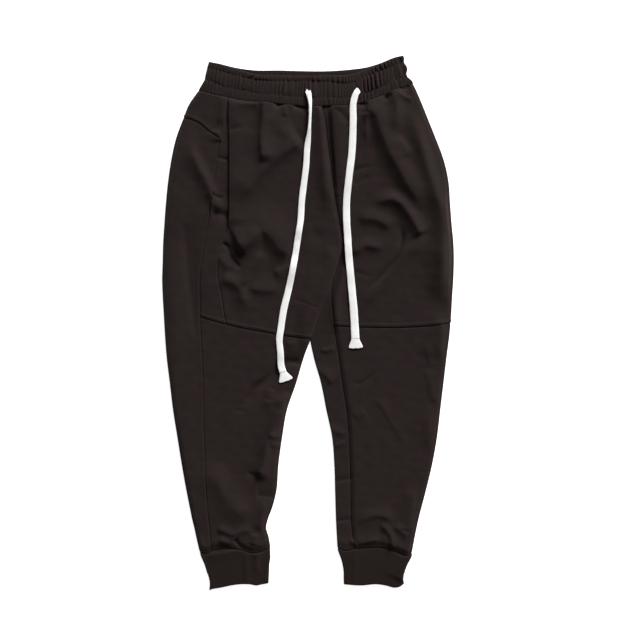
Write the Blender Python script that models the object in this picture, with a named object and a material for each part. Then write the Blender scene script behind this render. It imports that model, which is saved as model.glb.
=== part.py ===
"""Joggers laid flat on their back: a cloth tube for each leg, pressed flat, with an elastic
waistband, doubled cuffs and a flat drawcord.

Metres, +Z up. X runs across the garment, Y runs up it, and the floor is z = 0. The tables are
in millimetres: "down" is the distance below the waist's highest point, and every other column
is measured across from the middle. Right and left are the wearer's, so right is -X.

Every panel is a wall of cloth on a flattened tube. A place on the tube is (s, down): s is the
distance across on the top layer, and it runs on round the folded edge and back underneath.
"""
import math

import bmesh
import bpy
import numpy as np

MM = 0.001
NAME = "joggers"

# Driving sizes, in millimetres
CENTRE_X = 0.51           # middle of the laid garment, across
CENTRE_DOWN = 489.36      # middle of the laid garment, down from the waist
CLOTH = 1.6               # wall of the leg panels
BAND_WALL = 2.8           # waistband: two layers over elastic
CUFF_WALL = 2.6           # doubled cuff
SEAM = 0.3                # gap between two pieces at a seam
BEND = 3.0                # radius of a folded edge
BEND_RUN = math.pi * BEND  # cloth that one folded edge takes up
STACK = 6.2               # height of two layers of cloth
PRESSED = 4.2             # height of two layers under the other leg
LOFT = 0.9                # air between the layers, away from the edges
CROTCH = 378.0            # where the two legs part
FOLD_TOP = 341.0          # where the right leg's inner edge comes out of the centre seam
LIFT = 4.9                # how far the right leg's inner edge is raised by the left leg
MOUTH_STEP = 2.6          # the pocket mouth stands this much over its facing
MOUTH_END = 318.0         # lower end of the pocket mouth
MOUTH_CLOSE = 20.0        # the step at the mouth closes over this length
MOUTH_SLOPE = 26.0        # width over which the front settles again, inwards of its edge
MOUTH_BRINK = 0.1         # width of the step itself
FACING_TUCK = 7.0         # how far the facing runs under the mouth's edge
FACING_END = 22.0         # the tuck has ended this far above the mouth's lower end
FACING_TURN = 14.0        # length over which it ends

# How the legs lie
OVERLAP_START = 345.0     # the right leg starts to climb onto the left one
OVERLAP_START_RUN = 33.0
OVERLAP_END = 524.0       # and starts to come down off it
OVERLAP_END_RUN = 30.0
CLIMB_START = 30.0        # the climb starts this far before the left leg's edge
CLIMB_RUN = 25.0
DRIFT = 0.2               # slope at which an inner edge moves off above the crotch
AIR_RUN = 22.0            # the air between the layers builds up over this width
FOLD_FADE = 18.0          # the folds die out this far from a folded edge
PRESS_START = 3.0         # the left leg is pressed up to here beyond the right one's edge
SOFTNESS = 0.6            # how softly the lowest folds level out, in square millimetres
ROLL_START = 300.0        # the right front starts to turn over its inner edge here
ROLL_WIDTH = 12.0         # width of the strip that turns
TURN_STEP = 2.0           # the last of that strip
INSEAM_RUN = 28.0         # length over which the inseams come round the inner edges
INSEAM_CLEAR = 2.6        # room between the left inseam's edges at the crotch
EDGE_CLEAR = 0.5          # room at the right inseam and the centre seams
TURN_MARGIN = 0.4         # the bend counts as turned this much before its end

# Right leg: folded outer edge, side seam, pocket seam, and its inner edge, which is the
# centre-front seam down to FOLD_TOP and the folded inner edge below it.
RIGHT_COLUMNS = ("down", "outer", "side", "pocket", "inner")
RIGHT_ROWS = (
    (60, -197, -154, -145, 22),
    (90, -218, -154, -145, 25),
    (115, -228, -157, -145, 31),
    (150, -241, -161, -144, 35),
    (190, -250, -166, -144, 40),
    (230, -256, -172, -144, 45),
    (270, -260, -177, -144, 51),
    (310, -263, -183, -146, 59),
    (341, -265, -189, -156, 66),
    (378, -266, -195, -165, 55),
    (410, -267, -198, -164, 45),
    (440, -266, -198, -158, 34),
    (475, -264, -197, -153, 20),
    (510, -262, -196, -147, 9),
    (550, -259, -194, -145, -6),
    (600, -253, -192, -144, -22),
    (650, -247, -191, -143, -40),
    (700, -239, -190, -142, -48),
    (750, -231, -188, -141, -55),
    (800, -222, -186, -140, -60),
    (850, -212, -182, -138, -74),
    (880, -205, -179, -137, -70),
    (915, -197, -175, -135, -69),
)

# Left leg: its folded inner edge, the seam where its front begins, the pocket and side seams
# underneath, and its folded outer edge.
LEFT_COLUMNS = ("down", "inner", "front", "pocket", "side", "outer")
LEFT_ROWS = (
    (60, 22, 22, 166, 157, 199),
    (90, 25, 25, 180, 170, 211),
    (115, 31, 31, 190, 178, 220),
    (150, 35, 35, 204, 187, 234),
    (190, 40, 40, 216, 194, 249),
    (230, 45, 45, 223, 196, 258),
    (270, 51, 51, 226, 194, 261),
    (310, 59, 59, 228, 191, 264),
    (341, 66, 66, 225, 192, 267),
    (378, 54, 57, 223, 193, 268),
    (410, 30, 45, 227, 193, 267),
    (440, 14, 43, 232, 192, 265),
    (475, 5, 46, 235, 191, 263),
    (510, 3, 50, 238, 190, 260),
    (550, 10, 56, 234, 186, 255),
    (600, 25, 63, 230, 182, 249),
    (650, 36, 71, 226, 179, 243),
    (700, 46, 75, 220, 175, 237),
    (750, 50, 77, 211, 170, 228),
    (800, 52, 78, 200, 163, 216),
    (850, 53, 79, 188, 154, 203),
    (915, 57, 86, 176, 148, 190),
)

# Centre-back seam, underneath, and the slack width that each inseam is turned under.
BACK_COLUMNS = ("down", "centre", "turned_under")
BACK_ROWS = (
    (60, -46, 0),
    (150, -25, 0),
    (230, -3, 0),
    (300, 20, 0),
    (341, 38, 0),
    (378, 55, 0),
    (430, 55, 12),
    (510, 55, 24),
    (915, 55, 26),
)

# Seams that run across: (across, down).
WAIST_SEAM = ((-200, 64), (-172, 72), (-146, 77), (-115, 83), (-86, 86), (-51, 89), (-23, 91),
              (0, 94), (22, 93), (50, 92), (74, 92), (96, 88), (118, 81), (140, 72), (167, 61),
              (194, 52))
RIGHT_KNEE = ((-267, 470), (-197, 479), (-178, 485), (-148, 493), (-123, 499), (-84, 506),
              (-40, 514), (10, 520))
LEFT_KNEE = ((0, 494), (49, 496), (96, 498), (191, 498), (221, 496), (265, 490))
RIGHT_ANKLE = ((-199, 909), (-187, 913), (-170, 906), (-141, 904), (-124, 906), (-99, 912),
               (-84, 909), (-69, 901))
LEFT_ANKLE = ((57, 903), (69, 907), (88, 904), (118, 902), (134, 902), (152, 907), (166, 912),
              (181, 917), (191, 912))
RIGHT_HEM = ((-184, 981), (-179, 979), (-159, 975), (-134, 970), (-106, 969), (-95, 971),
             (-84, 969), (-72, 967))
LEFT_HEM = ((66, 969), (98, 971), (128, 969), (142, 971), (160, 975), (169, 973), (177, 967))
WAIST_SEAM_BACK = ((-200, 64), (-130, 79), (-50, 86), (30, 86), (110, 76), (160, 63),
                   (194, 52))
# Yoke seam: (distance inwards from the outer edge on top, down); below zero it is underneath,
# where it runs straight.
YOKE_SEAM = ((-360, 110), (-20, 114), (-10, 114), (0, 115), (15, 119), (36, 128), (49, 137),
             (66, 146), (90, 160))

# Waistband: its own side edges, its top edge in front and behind, and its stitch lines.
BAND_EDGE_COLUMNS = ("down", "right", "left")
BAND_EDGE_ROWS = (
    (0, -181, 174),
    (11, -181, 176),
    (23, -184, 181),
    (39, -187, 181),
    (46, -189, 187),
    (60, -197, 192),
    (66, -200, 196),
)
BAND_TOP_FRONT = ((-181, 11), (-157, 16), (-132, 24), (-99, 33), (-47, 36), (41, 36), (77, 35),
                  (105, 26), (132, 15), (160, 3), (174, 0))
BAND_TOP_BACK = ((-181, 11), (-157, 16), (-132, 22), (-106, 26), (-47, 27), (-14, 28),
                 (41, 28), (81, 25), (109, 21), (132, 14), (160, 3), (174, 0))
BAND_STITCH_1 = ((-184, 23), (-148, 31), (-107, 42), (-66, 46), (-9, 47), (41, 48), (58, 50),
                 (80, 50), (110, 38), (142, 24), (176, 12))
BAND_STITCH_2 = ((-189, 46), (-170, 50), (-148, 59), (-119, 64), (-84, 71), (-29, 75), (-3, 78),
                 (32, 78), (74, 78), (107, 69), (140, 55), (162, 45), (184, 39))
GATHERS = 46              # gathers across the front of the waistband
GATHER_HEIGHT = 1.3
GATHER_REST = 0.35        # share of that height that is left at the stitch lines
GATHER_START = -200.0     # across, where the first gather lies
GATHER_SPAN = 366.0       # width that the gathers share
TIER_PUFF = 1.1
RING_AIR = 0.8            # air inside the band and the cuffs
RING_CLEAR = 0.7 * SEAM   # gap that a band or cuff keeps from its seam
MEET_FLAT = 4.0           # a ring is level with the leg this far to each side of the seam
MEET_RUN = 18.0           # and comes back to its own edge over this length

# Cuffs: their own side edges.
CUFF_COLUMNS = ("down", "right_low", "right_high", "left_low", "left_high")
CUFF_ROWS = (
    (900, -200, -69, 56, 193),
    (917, -195, -71, 61, 188),
    (932, -187, -74, 65, 182),
    (945, -183, -74, 67, 176),
    (957, -179, -75, 68, 172),
    (968, -177, -76, 69, 175),
    (981, -179, -78, 70, 174),
)

# The largest folds of the top layer. Each is a curve through three points; width is half its
# breadth, height is up or down, and beside is the height of the ridge that it throws up next
# to it, on its left looking from start to end.
FOLD_COLUMNS = ("x0", "down0", "x1", "down1", "x2", "down2", "width", "height", "beside")
FOLDS = (
    # the thick edge of the right front along the centre seam
    (12, 92, 31, 190, 55, 320, 9.0, 6.0, 0.0),
    # right thigh
    (-84, 80, -87, 140, -84, 196, 7.0, -2.5, 4.5),
    (-20, 162, -69, 187, -99, 235, 13.0, 3.0, -1.5),
    (-72, 366, -100, 352, -132, 364, 9.0, -1.5, 4.0),
    (-32, 370, -54, 322, -82, 330, 9.0, 3.5, -1.0),
    (-155, 352, -140, 372, -121, 394, 7.0, -2.0, 4.0),
    (-154, 412, -128, 420, -120, 460, 7.0, -1.5, 3.5),
    (-112, 430, -82, 428, -50, 434, 8.0, 3.0, -1.0),
    (-206, 158, -216, 215, -180, 275, 10.0, -1.0, 3.0),
    (-225, 293, -214, 400, -206, 520, 14.0, -1.5, 2.5),
    # right lower leg
    (-57, 570, -96, 612, -124, 644, 11.0, 3.0, -1.5),
    (-74, 634, -80, 690, -98, 765, 12.0, -2.0, 3.0),
    (-88, 806, -76, 806, -66, 809, 8.0, 2.5, -1.0),
    (-154, 877, -125, 870, -99, 868, 9.0, 3.0, -1.5),
    # left thigh
    (140, 68, 150, 105, 155, 146, 9.0, -1.5, 4.5),
    (106, 106, 165, 195, 208, 290, 10.0, -2.0, 4.5),
    (186, 106, 208, 215, 232, 300, 11.0, -1.0, 3.5),
    (233, 310, 236, 380, 231, 470, 13.0, -1.0, 3.0),
    (154, 268, 176, 300, 206, 333, 9.0, 3.0, -1.0),
    (84, 362, 110, 348, 145, 360, 9.0, -1.5, 3.5),
    (170, 330, 150, 385, 108, 430, 10.0, 4.0, -1.5),
    (215, 341, 176, 376, 98, 468, 10.0, 4.0, -1.5),
    # left lower leg
    (82, 600, 105, 590, 134, 576, 12.0, 2.5, -1.0),
    (120, 632, 140, 660, 162, 688, 7.0, -1.5, 3.5),
    (218, 588, 226, 615, 231, 640, 9.0, -1.0, 3.0),
    (98, 871, 126, 845, 150, 900, 9.0, 3.5, -1.5),
    (158, 870, 168, 880, 178, 890, 8.0, 3.0, -1.0),
)

# Drawcord: the two free ends, as (across, down) along the cord's middle.
CORD_WIDTH = 12.0
CORD_THICK = 2.6
CORD_CLEAR = 0.9          # above the highest cloth under it
CORD_REACH = 0.6          # share of its width, each way, over which that cloth is looked up
CORD_AHEAD = 9.0          # and the length, each way
CORD_SMOOTH = 2           # points each way over which its height is evened out
BAND_REACH = 4.0          # the band's height counts this far below its seam
RIGHT_CORD = ((-1, 62), (2, 72), (4, 84), (4, 117), (2, 145), (-1, 169), (-3, 202), (-7, 235),
              (-11, 268), (-13, 301), (-18, 334), (-23, 367), (-29, 400), (-36, 433),
              (-44, 466), (-49, 499), (-52, 521), (-50, 543), (-48, 571), (-45, 580))
LEFT_CORD = ((94, 62), (88, 71), (84, 84), (83, 117), (82, 154), (80, 185), (77, 209),
             (74, 235), (71, 268), (71, 301), (73, 334), (75, 367), (78, 400), (81, 433),
             (84, 466), (86, 499), (87, 519))
CORD_POINTS = 44
END_LENGTH = 17.0
END_WIDTH = 26.0
END_POINTS = 4
# The cord's section: (across, as a share of half the width; up, as a share of the thickness)
CORD_SECTION = ((-1.0, 0.5), (-0.7, 1.0), (0.7, 1.0), (1.0, 0.5), (0.7, 0.0), (-0.7, 0.0))

# Cells of the cloth's walls: rows from level to level, and columns from stop to stop
HIP_ROWS = 18
KNEE_ROWS = 8
SHIN_ROWS = 24
YOKE_ROWS = 1
RIGHT_YOKE_ROWS = 4
LEFT_YOKE_ROWS = 2
COLUMNS = {
    "right_front": (13, 4, 2),
    "right_side_front": (3,),
    "right_front_lower": (12, 3, 2),
    "right_back": (3, 1, 3, 4),
    "right_yoke": (10, 3, 4),
    "left_front": (3, 12, 3, 1),
    "left_side_front": (1,),
    "left_front_lower": (12, 3, 2),
    "left_back": (2, 8),
    "left_yoke": (10,),
}
BACK_STRIP = 34.0         # width of the right back's first stretch of cells
BACK_SHARE = 0.8          # where the left back's two stretches of cells meet
FOLD_STEPS = 17           # points along each fold
SETTLE_STEPS = 14         # rounds that place a panel's grid between its seams
RING_STEPS = 8            # rounds that place a ring's grid
BAND_BACK_COLUMNS = 24
BAND_BEND_COLUMNS = 4
BAND_ROWS = (2, 2, 2)
CUFF_ROW_COUNT = (4,)

# Finishes: colour and roughness
FINISHES = {
    "cloth": ((0.026, 0.0205, 0.0195, 1.0), 0.8),
    "gathered_band": ((0.026, 0.0205, 0.0195, 1.0), 0.8),
    "cuff_knit": ((0.025, 0.0195, 0.0185, 1.0), 0.85),
    "cord": ((0.86, 0.86, 0.84, 1.0), 0.75),
}


def smooth(value):
    """A rise from 0 to 1 with level ends."""
    value = np.clip(value, 0.0, 1.0)
    return value * value * (3.0 - 2.0 * value)


def curve(points):
    """A function through (position, value) points, each stretch a cubic with shared slopes."""
    knots = np.array([point[0] for point in points], float)
    values = np.array([point[1] for point in points], float)
    slopes = np.gradient(values, knots)

    def at(position):
        position = np.clip(position, knots[0], knots[-1])
        index = np.clip(np.searchsorted(knots, position) - 1, 0, len(knots) - 2)
        step = knots[index + 1] - knots[index]
        part = (position - knots[index]) / step
        rise = values[index + 1] - values[index]
        start = slopes[index] * step
        end = slopes[index + 1] * step
        return (values[index] + part * start + part ** 2 * (3 * rise - 2 * start - end)
                + part ** 3 * (start + end - 2 * rise))

    return at


def table(columns, rows):
    """One curve for each named column after the first, against the first."""
    return {name: curve([(row[0], row[place]) for row in rows])
            for place, name in enumerate(columns) if place}


RIGHT = table(RIGHT_COLUMNS, RIGHT_ROWS)
LEFT = table(LEFT_COLUMNS, LEFT_ROWS)
BACK = table(BACK_COLUMNS, BACK_ROWS)
BAND_EDGE = table(BAND_EDGE_COLUMNS, BAND_EDGE_ROWS)
CUFF = table(CUFF_COLUMNS, CUFF_ROWS)


def fold_line(fold):
    """Points along a fold: it leaves its first place for its second and ends at its third."""
    along = np.linspace(0.0, 1.0, FOLD_STEPS)
    shares = ((1 - along) ** 2, 2 * along * (1 - along), along ** 2)
    line_x = sum(share * fold[f"x{place}"] for place, share in enumerate(shares))
    line_d = sum(share * fold[f"down{place}"] for place, share in enumerate(shares))
    return along, line_x, line_d


def folds(x, down):
    """Height of all the folds at a place. Across its line each is a bell of its own width,
    with a bell 1.3 times as wide beside it, 1.9 widths away. It fades out past its ends over
    1.6 widths."""
    total = np.zeros(np.broadcast(x, down).shape)
    for row in FOLDS:
        fold = dict(zip(FOLD_COLUMNS, row))
        width = fold["width"]
        along, line_x, line_d = fold_line(fold)
        away_x = x[..., None] - line_x
        away_d = down[..., None] - line_d
        nearest = np.argmin(away_x ** 2 + away_d ** 2, axis=-1)
        pick = nearest[..., None]
        away_x = np.take_along_axis(away_x, pick, -1)[..., 0]
        away_d = np.take_along_axis(away_d, pick, -1)[..., 0]
        run_x = np.gradient(line_x)[nearest]
        run_d = np.gradient(line_d)[nearest]
        run = np.hypot(run_x, run_d)
        over = (away_x * run_x + away_d * run_d) / run
        across = (away_x * run_d - away_d * run_x) / run
        ends = np.exp(-(over / (1.6 * width)) ** 2)
        taper = smooth(4.0 * (along[nearest] * (1 - along[nearest])) + 0.25)
        bell = fold["height"] * np.exp(-(across / width) ** 2)
        ridge = fold["beside"] * np.exp(-((across - 1.9 * width) / (1.3 * width)) ** 2)
        total += ends * taper * (bell + ridge)
    return total


def overlap_window(down):
    """1 where the right leg lies on the left one, 0 well above and below."""
    on = smooth((down - OVERLAP_START) / OVERLAP_START_RUN)
    return on * (1.0 - smooth((down - OVERLAP_END) / OVERLAP_END_RUN))


def right_low(down):
    """Outer folded edge of the right leg."""
    return RIGHT["outer"](down)


def right_high(down):
    """Inner folded edge of the right leg; above the crotch it moves off beyond the seam."""
    return RIGHT["inner"](down) + DRIFT * np.maximum(FOLD_TOP - down, 0.0)


def left_low(down):
    """Inner folded edge of the left leg; above the crotch it moves off beyond the seam."""
    below = LEFT["inner"](np.maximum(down, CROTCH))
    above = BACK["centre"](down) - DRIFT * np.maximum(CROTCH - down, 0.0) - 2 * EDGE_CLEAR
    return np.where(down > CROTCH, below, above)


def left_high(down):
    """Outer folded edge of the left leg."""
    return LEFT["outer"](down)


def right_base(x, down):
    """Underside of the right leg: on the floor, or over the left leg's inner edge."""
    edge = LEFT["inner"](np.maximum(down, CROTCH))
    climb = smooth((x - edge + CLIMB_START) / CLIMB_RUN)
    return LIFT * climb * overlap_window(down)


def left_base(x, down):
    """Underside of the left leg: the floor."""
    return np.zeros(np.broadcast(x, down).shape)


def puff(x, down, low, high):
    """Air between the layers: none at the folded edges."""
    return LOFT * smooth((x - low) / AIR_RUN) * smooth((high - x) / AIR_RUN)


def right_flat_top(x, down):
    """Top layer of the right leg, without the step at its pocket mouth."""
    low = right_low(down)
    high = RIGHT["inner"](down)
    edge = smooth((x - low - BEND) / FOLD_FADE)
    rise = STACK - PRESSED + puff(x, down, low, high) + edge * folds(x, down)
    return right_base(x, down) + PRESSED + soft_floor(rise)


def right_top(x, down):
    """Top layer of the right leg: its front stands over the facing along the pocket mouth."""
    open_part = smooth((MOUTH_END - down) / MOUTH_CLOSE)
    past = x - RIGHT["pocket"](down)
    settled = smooth((past - FACING_TUCK - 2 * EDGE_CLEAR) / MOUTH_SLOPE)
    over = smooth(past / MOUTH_BRINK) * (1.0 - settled)
    return right_flat_top(x, down) + MOUTH_STEP * open_part * over


def left_top(x, down):
    """Top layer of the left leg, pressed where the right leg lies on it."""
    high = left_high(down)
    low = LEFT["front"](down)
    edge = smooth((high - BEND - x) / FOLD_FADE)
    rise = STACK - PRESSED + puff(x, down, low, high) + edge * folds(x, down)
    free = smooth((x - RIGHT["inner"](down) - PRESS_START) / FOLD_FADE)
    free = 1.0 - (1.0 - free) * overlap_window(down)
    return PRESSED + free * soft_floor(rise)


def soft_floor(rise):
    """The same height, but never below zero: it levels out smoothly."""
    return 0.5 * (rise + np.sqrt(rise * rise + SOFTNESS))


class Tube:
    """A leg pressed flat: its folded edges, its top and its underside."""

    def __init__(self, low, high, top, base, wall=CLOTH):
        self.low = low
        self.high = high
        self.top = top
        self.base = base
        self.wall = wall

    def wrap(self, s, down, depth):
        """The point at s along the loop, depth below the cloth's outer face: level with s on
        top, half an ellipse round a folded edge, then back along the underside."""
        s, down = np.broadcast_arrays(s, down)
        left = self.low(down) + BEND
        right = self.high(down) - BEND
        past_left = left - s
        past_right = s - right
        use_left = past_left > 0.0
        past = np.where(use_left, past_left, past_right)
        corner = np.where(use_left, left, right)
        sign = np.where(use_left, -1.0, 1.0)
        turn = math.pi * np.clip(past / BEND_RUN, 0.0, 1.0)
        under = np.maximum(past - BEND_RUN, 0.0)
        high = self.top(corner, down)
        low = self.base(corner, down)
        middle = 0.5 * (high + low)
        half = 0.5 * (high - low)
        bend_x = corner + sign * ((BEND - depth) * np.sin(turn) - under)
        bend_z = middle + (half - depth) * np.cos(turn)
        bend_z = np.where(under > 0.0, self.base(bend_x, down) + depth, bend_z)
        on_top = past <= 0.0
        x = np.where(on_top, s, bend_x)
        z = np.where(on_top, self.top(s, down) - depth, bend_z)
        return x, z

    def under_left(self, down, x):
        """The s of a place x on the underside, going round the low edge."""
        return self.low(down) + BEND - BEND_RUN - (x - self.low(down) - BEND)

    def under_right(self, down, x):
        """The s of a place x on the underside, going round the high edge."""
        return self.high(down) - BEND + BEND_RUN + (self.high(down) - BEND - x)


RIGHT_TUBE = Tube(right_low, right_high, right_top, right_base)
FACING_TUBE = Tube(right_low, right_high, right_flat_top, right_base)
LEFT_TUBE = Tube(left_low, left_high, left_top, left_base)


def hidden_share(x, s):
    """How far round a folded edge a place is: 0 on top, 1 underneath."""
    return smooth(np.abs(x - s) / (BEND_RUN - TURN_MARGIN))


def level(seam, behind=None):
    """A seam that runs across, as a function of the place. Underneath it follows the points
    of behind, or else runs straight between its two ends."""
    line = curve(seam)
    back = curve(behind or (seam[0], seam[-1]))

    def at(x, s, down):
        hidden = hidden_share(x, s)
        return (1.0 - hidden) * line(x) + hidden * back(x)

    return at


def crotch_level(x, s, down):
    """The row where the legs part."""
    return np.full(np.shape(x), CROTCH)


def right_yoke_level(x, s, down):
    """The yoke seam, measured inwards from the outer edge of the right leg."""
    return curve(YOKE_SEAM)(s - right_low(down) - BEND)


WAIST = level(WAIST_SEAM, WAIST_SEAM_BACK)
RIGHT_KNEE_LEVEL = level(RIGHT_KNEE)
LEFT_KNEE_LEVEL = level(LEFT_KNEE)
RIGHT_ANKLE_LEVEL = level(RIGHT_ANKLE)
LEFT_ANKLE_LEVEL = level(LEFT_ANKLE)


# Seams that run down the legs, as s against down.

def right_side_seam(down):
    return RIGHT["side"](down)


def right_pocket_seam(down):
    return RIGHT["pocket"](down)


def right_facing_edge(down):
    """The facing's edge, tucked under the pocket mouth as far down as the mouth is open."""
    return RIGHT["pocket"](down) + FACING_TUCK * smooth((MOUTH_END - FACING_END - down) / FACING_TURN)


def right_front_roll(down):
    """Where the right front starts to turn over its inner edge."""
    roll = right_high(down) - BEND
    blend = smooth((down - ROLL_START) / (FOLD_TOP - ROLL_START))
    return (1.0 - blend) * (RIGHT["inner"](down) - ROLL_WIDTH) + blend * roll


def right_front_turned(down):
    """Where the right front has turned right over its inner edge."""
    wrap = BEND + (BEND_RUN - BEND) * smooth((down - FOLD_TOP) / (CROTCH - FOLD_TOP))
    folded = right_high(down) - BEND + wrap
    rolled = smooth((down - ROLL_START) / (FOLD_TOP - ROLL_START))
    flat = RIGHT["inner"](down) - TURN_STEP * (1.0 - rolled)
    return np.where(down < FOLD_TOP, flat, folded)


def right_front_inseam(down):
    """Last edge of the right front: the centre seam, then the inseam underneath."""
    below = right_front_turned(down) + BACK["turned_under"](down)
    return np.where(down < FOLD_TOP, RIGHT["inner"](down), below + TURN_MARGIN)


def right_back_edge(down):
    """Last edge of the right back, underneath: the centre-back seam, then the inseam."""
    edge = RIGHT["inner"](down) - BEND - BACK["turned_under"](down) - EDGE_CLEAR
    x = np.where(down < FOLD_TOP, BACK["centre"](down), np.minimum(BACK["centre"](down), edge))
    return RIGHT_TUBE.under_left(down, x)


def left_front_edge(down):
    """First edge of the left front: the centre seam, the right leg's folded edge, then the
    inseam, which climbs round the inner edge onto the top."""
    return np.where(down < CROTCH, RIGHT["inner"](down) + DRIFT, left_inseam(down))


def left_inseam(down):
    """Left inseam below the crotch, starting low on the inner edge's bend."""
    natural = LEFT["front"](down)
    just_below = np.nextafter(CROTCH, np.inf)
    at_crotch = left_low(just_below) + BEND - (BEND_RUN - BEND)
    shift = LEFT["front"](CROTCH) - at_crotch
    return natural - shift * (1.0 - smooth((down - CROTCH) / INSEAM_RUN))


def left_back_edge(down):
    """Last edge of the left back: the centre-back seam underneath, then the inseam on top."""
    under = LEFT_TUBE.under_left(down, BACK["centre"](down))
    clear = INSEAM_CLEAR * (1.0 - smooth((down - CROTCH) / INSEAM_RUN))
    return np.where(down < CROTCH, under, left_inseam(down) - clear)


def left_pocket_seam(down):
    return LEFT_TUBE.under_right(down, LEFT["pocket"](down))


def left_side_seam(down):
    return LEFT_TUBE.under_right(down, LEFT["side"](down))


def shifted(seam, amount):
    """A seam moved along the loop."""
    return lambda down: seam(down) + amount


def blend_of(first, last, part):
    """A line part of the way between two seams."""
    return lambda down: (1.0 - part) * first(down) + part * last(down)


def spread(counts):
    """Segment number and part of the segment for each grid line."""
    segment = [0]
    part = [0.0]
    for place, count in enumerate(counts):
        for step in range(1, count + 1):
            segment.append(place)
            part.append(step / count)
    return np.array(segment), np.array(part)


def grid_between(tube, stops, columns, levels, rows):
    """Places (s, down) of a panel's grid. Each column lies part of the way between two of the
    stops and each row part of the way between two of the levels, found by iteration, because
    the seams lean."""
    column_segment, column_part = spread(columns)
    row_segment, row_part = spread(rows)
    shape = (len(row_segment), len(column_segment))
    row_segment = row_segment[:, None]
    row_part = row_part[:, None]
    down = np.full(shape, CROTCH)
    s = np.zeros(shape)
    for _ in range(SETTLE_STEPS):
        lines = np.stack([stop(down) for stop in stops])
        first = np.take_along_axis(lines, np.broadcast_to(column_segment, shape)[None], 0)[0]
        last = np.take_along_axis(lines, np.broadcast_to(column_segment + 1, shape)[None], 0)[0]
        s = first + column_part * (last - first)
        x, _ = tube.wrap(s, down, 0.0)
        heights = np.stack([rule(x, s, down) for rule in levels])
        above = np.take_along_axis(heights, np.broadcast_to(row_segment, shape)[None], 0)[0]
        below = np.take_along_axis(heights, np.broadcast_to(row_segment + 1, shape)[None], 0)[0]
        down = above + row_part * (below - above)
    down[0] += SEAM / 2
    down[-1] -= SEAM / 2
    return s, down


def corners(x, down, z):
    """Millimetres on the garment to metres in the scene."""
    return np.stack([x - CENTRE_X, CENTRE_DOWN - down, z], axis=-1) * MM


def closed_mesh(name, points, faces):
    """A mesh of a closed skin, its faces turned outwards."""
    mesh = bpy.data.meshes.new(name)
    mesh.from_pydata(points.tolist(), [], faces)
    skin = bmesh.new()
    skin.from_mesh(mesh)
    bmesh.ops.recalc_face_normals(skin, faces=skin.faces)
    skin.to_mesh(mesh)
    skin.free()
    return mesh


def wall_mesh(name, outer, inner, closed=False):
    """A wall from its outer and inner grids, rims included. A closed wall joins its last
    column to its first."""
    rows, columns = outer.shape[:2]
    count = rows * columns
    points = np.concatenate([outer.reshape(-1, 3), inner.reshape(-1, 3)])
    index = np.arange(count).reshape(rows, columns)
    if closed:
        index = np.concatenate([index, index[:, :1]], axis=1)
    a, b, c, d = index[:-1, :-1], index[:-1, 1:], index[1:, 1:], index[1:, :-1]
    faces = [np.stack([a, b, c, d], -1).reshape(-1, 4)]
    faces.append(np.stack([d, c, b, a], -1).reshape(-1, 4) + count)
    edges = [index[0], index[-1][::-1]]
    if not closed:
        edges += [index[::-1, 0], index[:, -1]]
    for line in edges:
        faces.append(np.stack([line[1:], line[:-1], line[:-1] + count, line[1:] + count], -1))
    return closed_mesh(name, points, np.concatenate(faces).tolist())


def material(name):
    """The plain Principled material of one finish."""
    colour, roughness = FINISHES[name]
    made = bpy.data.materials.new(name)
    made.use_nodes = True
    shader = made.node_tree.nodes["Principled BSDF"]
    shader.inputs["Base Color"].default_value = colour
    shader.inputs["Roughness"].default_value = roughness
    shader.inputs["Metallic"].default_value = 0.0
    return made


def add(collection, name, mesh, finish):
    """Put one named sub-part in the object's collection."""
    piece = bpy.data.objects.new(name, mesh)
    mesh.materials.append(finish)
    collection.objects.link(piece)


def panel(name, tube, stops, levels, rows):
    """The name of one cut piece, its outer and inner grids, half a seam gap inside its seams,
    and its last row."""
    held = [shifted(stops[0], SEAM / 2)] + stops[1:-1] + [shifted(stops[-1], -SEAM / 2)]
    s, down = grid_between(tube, held, COLUMNS[name], levels, rows)
    grids = []
    for depth in (0.0, tube.wall):
        x, z = tube.wrap(s, down, depth)
        grids.append(corners(x, down, z))
    return name, grids, (s[-1], down[-1])


def right_panels():
    """The right leg's cut pieces."""
    tube = RIGHT_TUBE
    low_bend = lambda down: right_low(down) + BEND
    low_under = lambda down: right_low(down) + BEND - BEND_RUN
    high_bend = lambda down: right_high(down) - BEND
    high_under = lambda down: right_high(down) - BEND + BEND_RUN
    near_edge = shifted(right_back_edge, BACK_STRIP)
    hip = [WAIST, crotch_level, RIGHT_KNEE_LEVEL]
    hip_rows = [HIP_ROWS, KNEE_ROWS]
    yield panel(
        "right_front", tube,
        [right_pocket_seam, right_front_roll, right_front_turned, right_front_inseam],
        hip, hip_rows)
    yield panel(
        "right_side_front", FACING_TUBE, [right_side_seam, right_facing_edge], hip, hip_rows)
    yield panel(
        "right_front_lower", tube,
        [right_side_seam, high_bend, high_under, right_front_inseam],
        [RIGHT_KNEE_LEVEL, RIGHT_ANKLE_LEVEL], [SHIN_ROWS])
    yield panel(
        "right_back", tube,
        [right_back_edge, near_edge, low_under, low_bend, right_side_seam],
        [right_yoke_level, crotch_level, RIGHT_KNEE_LEVEL, RIGHT_ANKLE_LEVEL],
        [HIP_ROWS - YOKE_ROWS, KNEE_ROWS, SHIN_ROWS])
    yield panel(
        "right_yoke", tube, [right_back_edge, low_under, low_bend, right_side_seam],
        [WAIST, right_yoke_level], [RIGHT_YOKE_ROWS])


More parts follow.
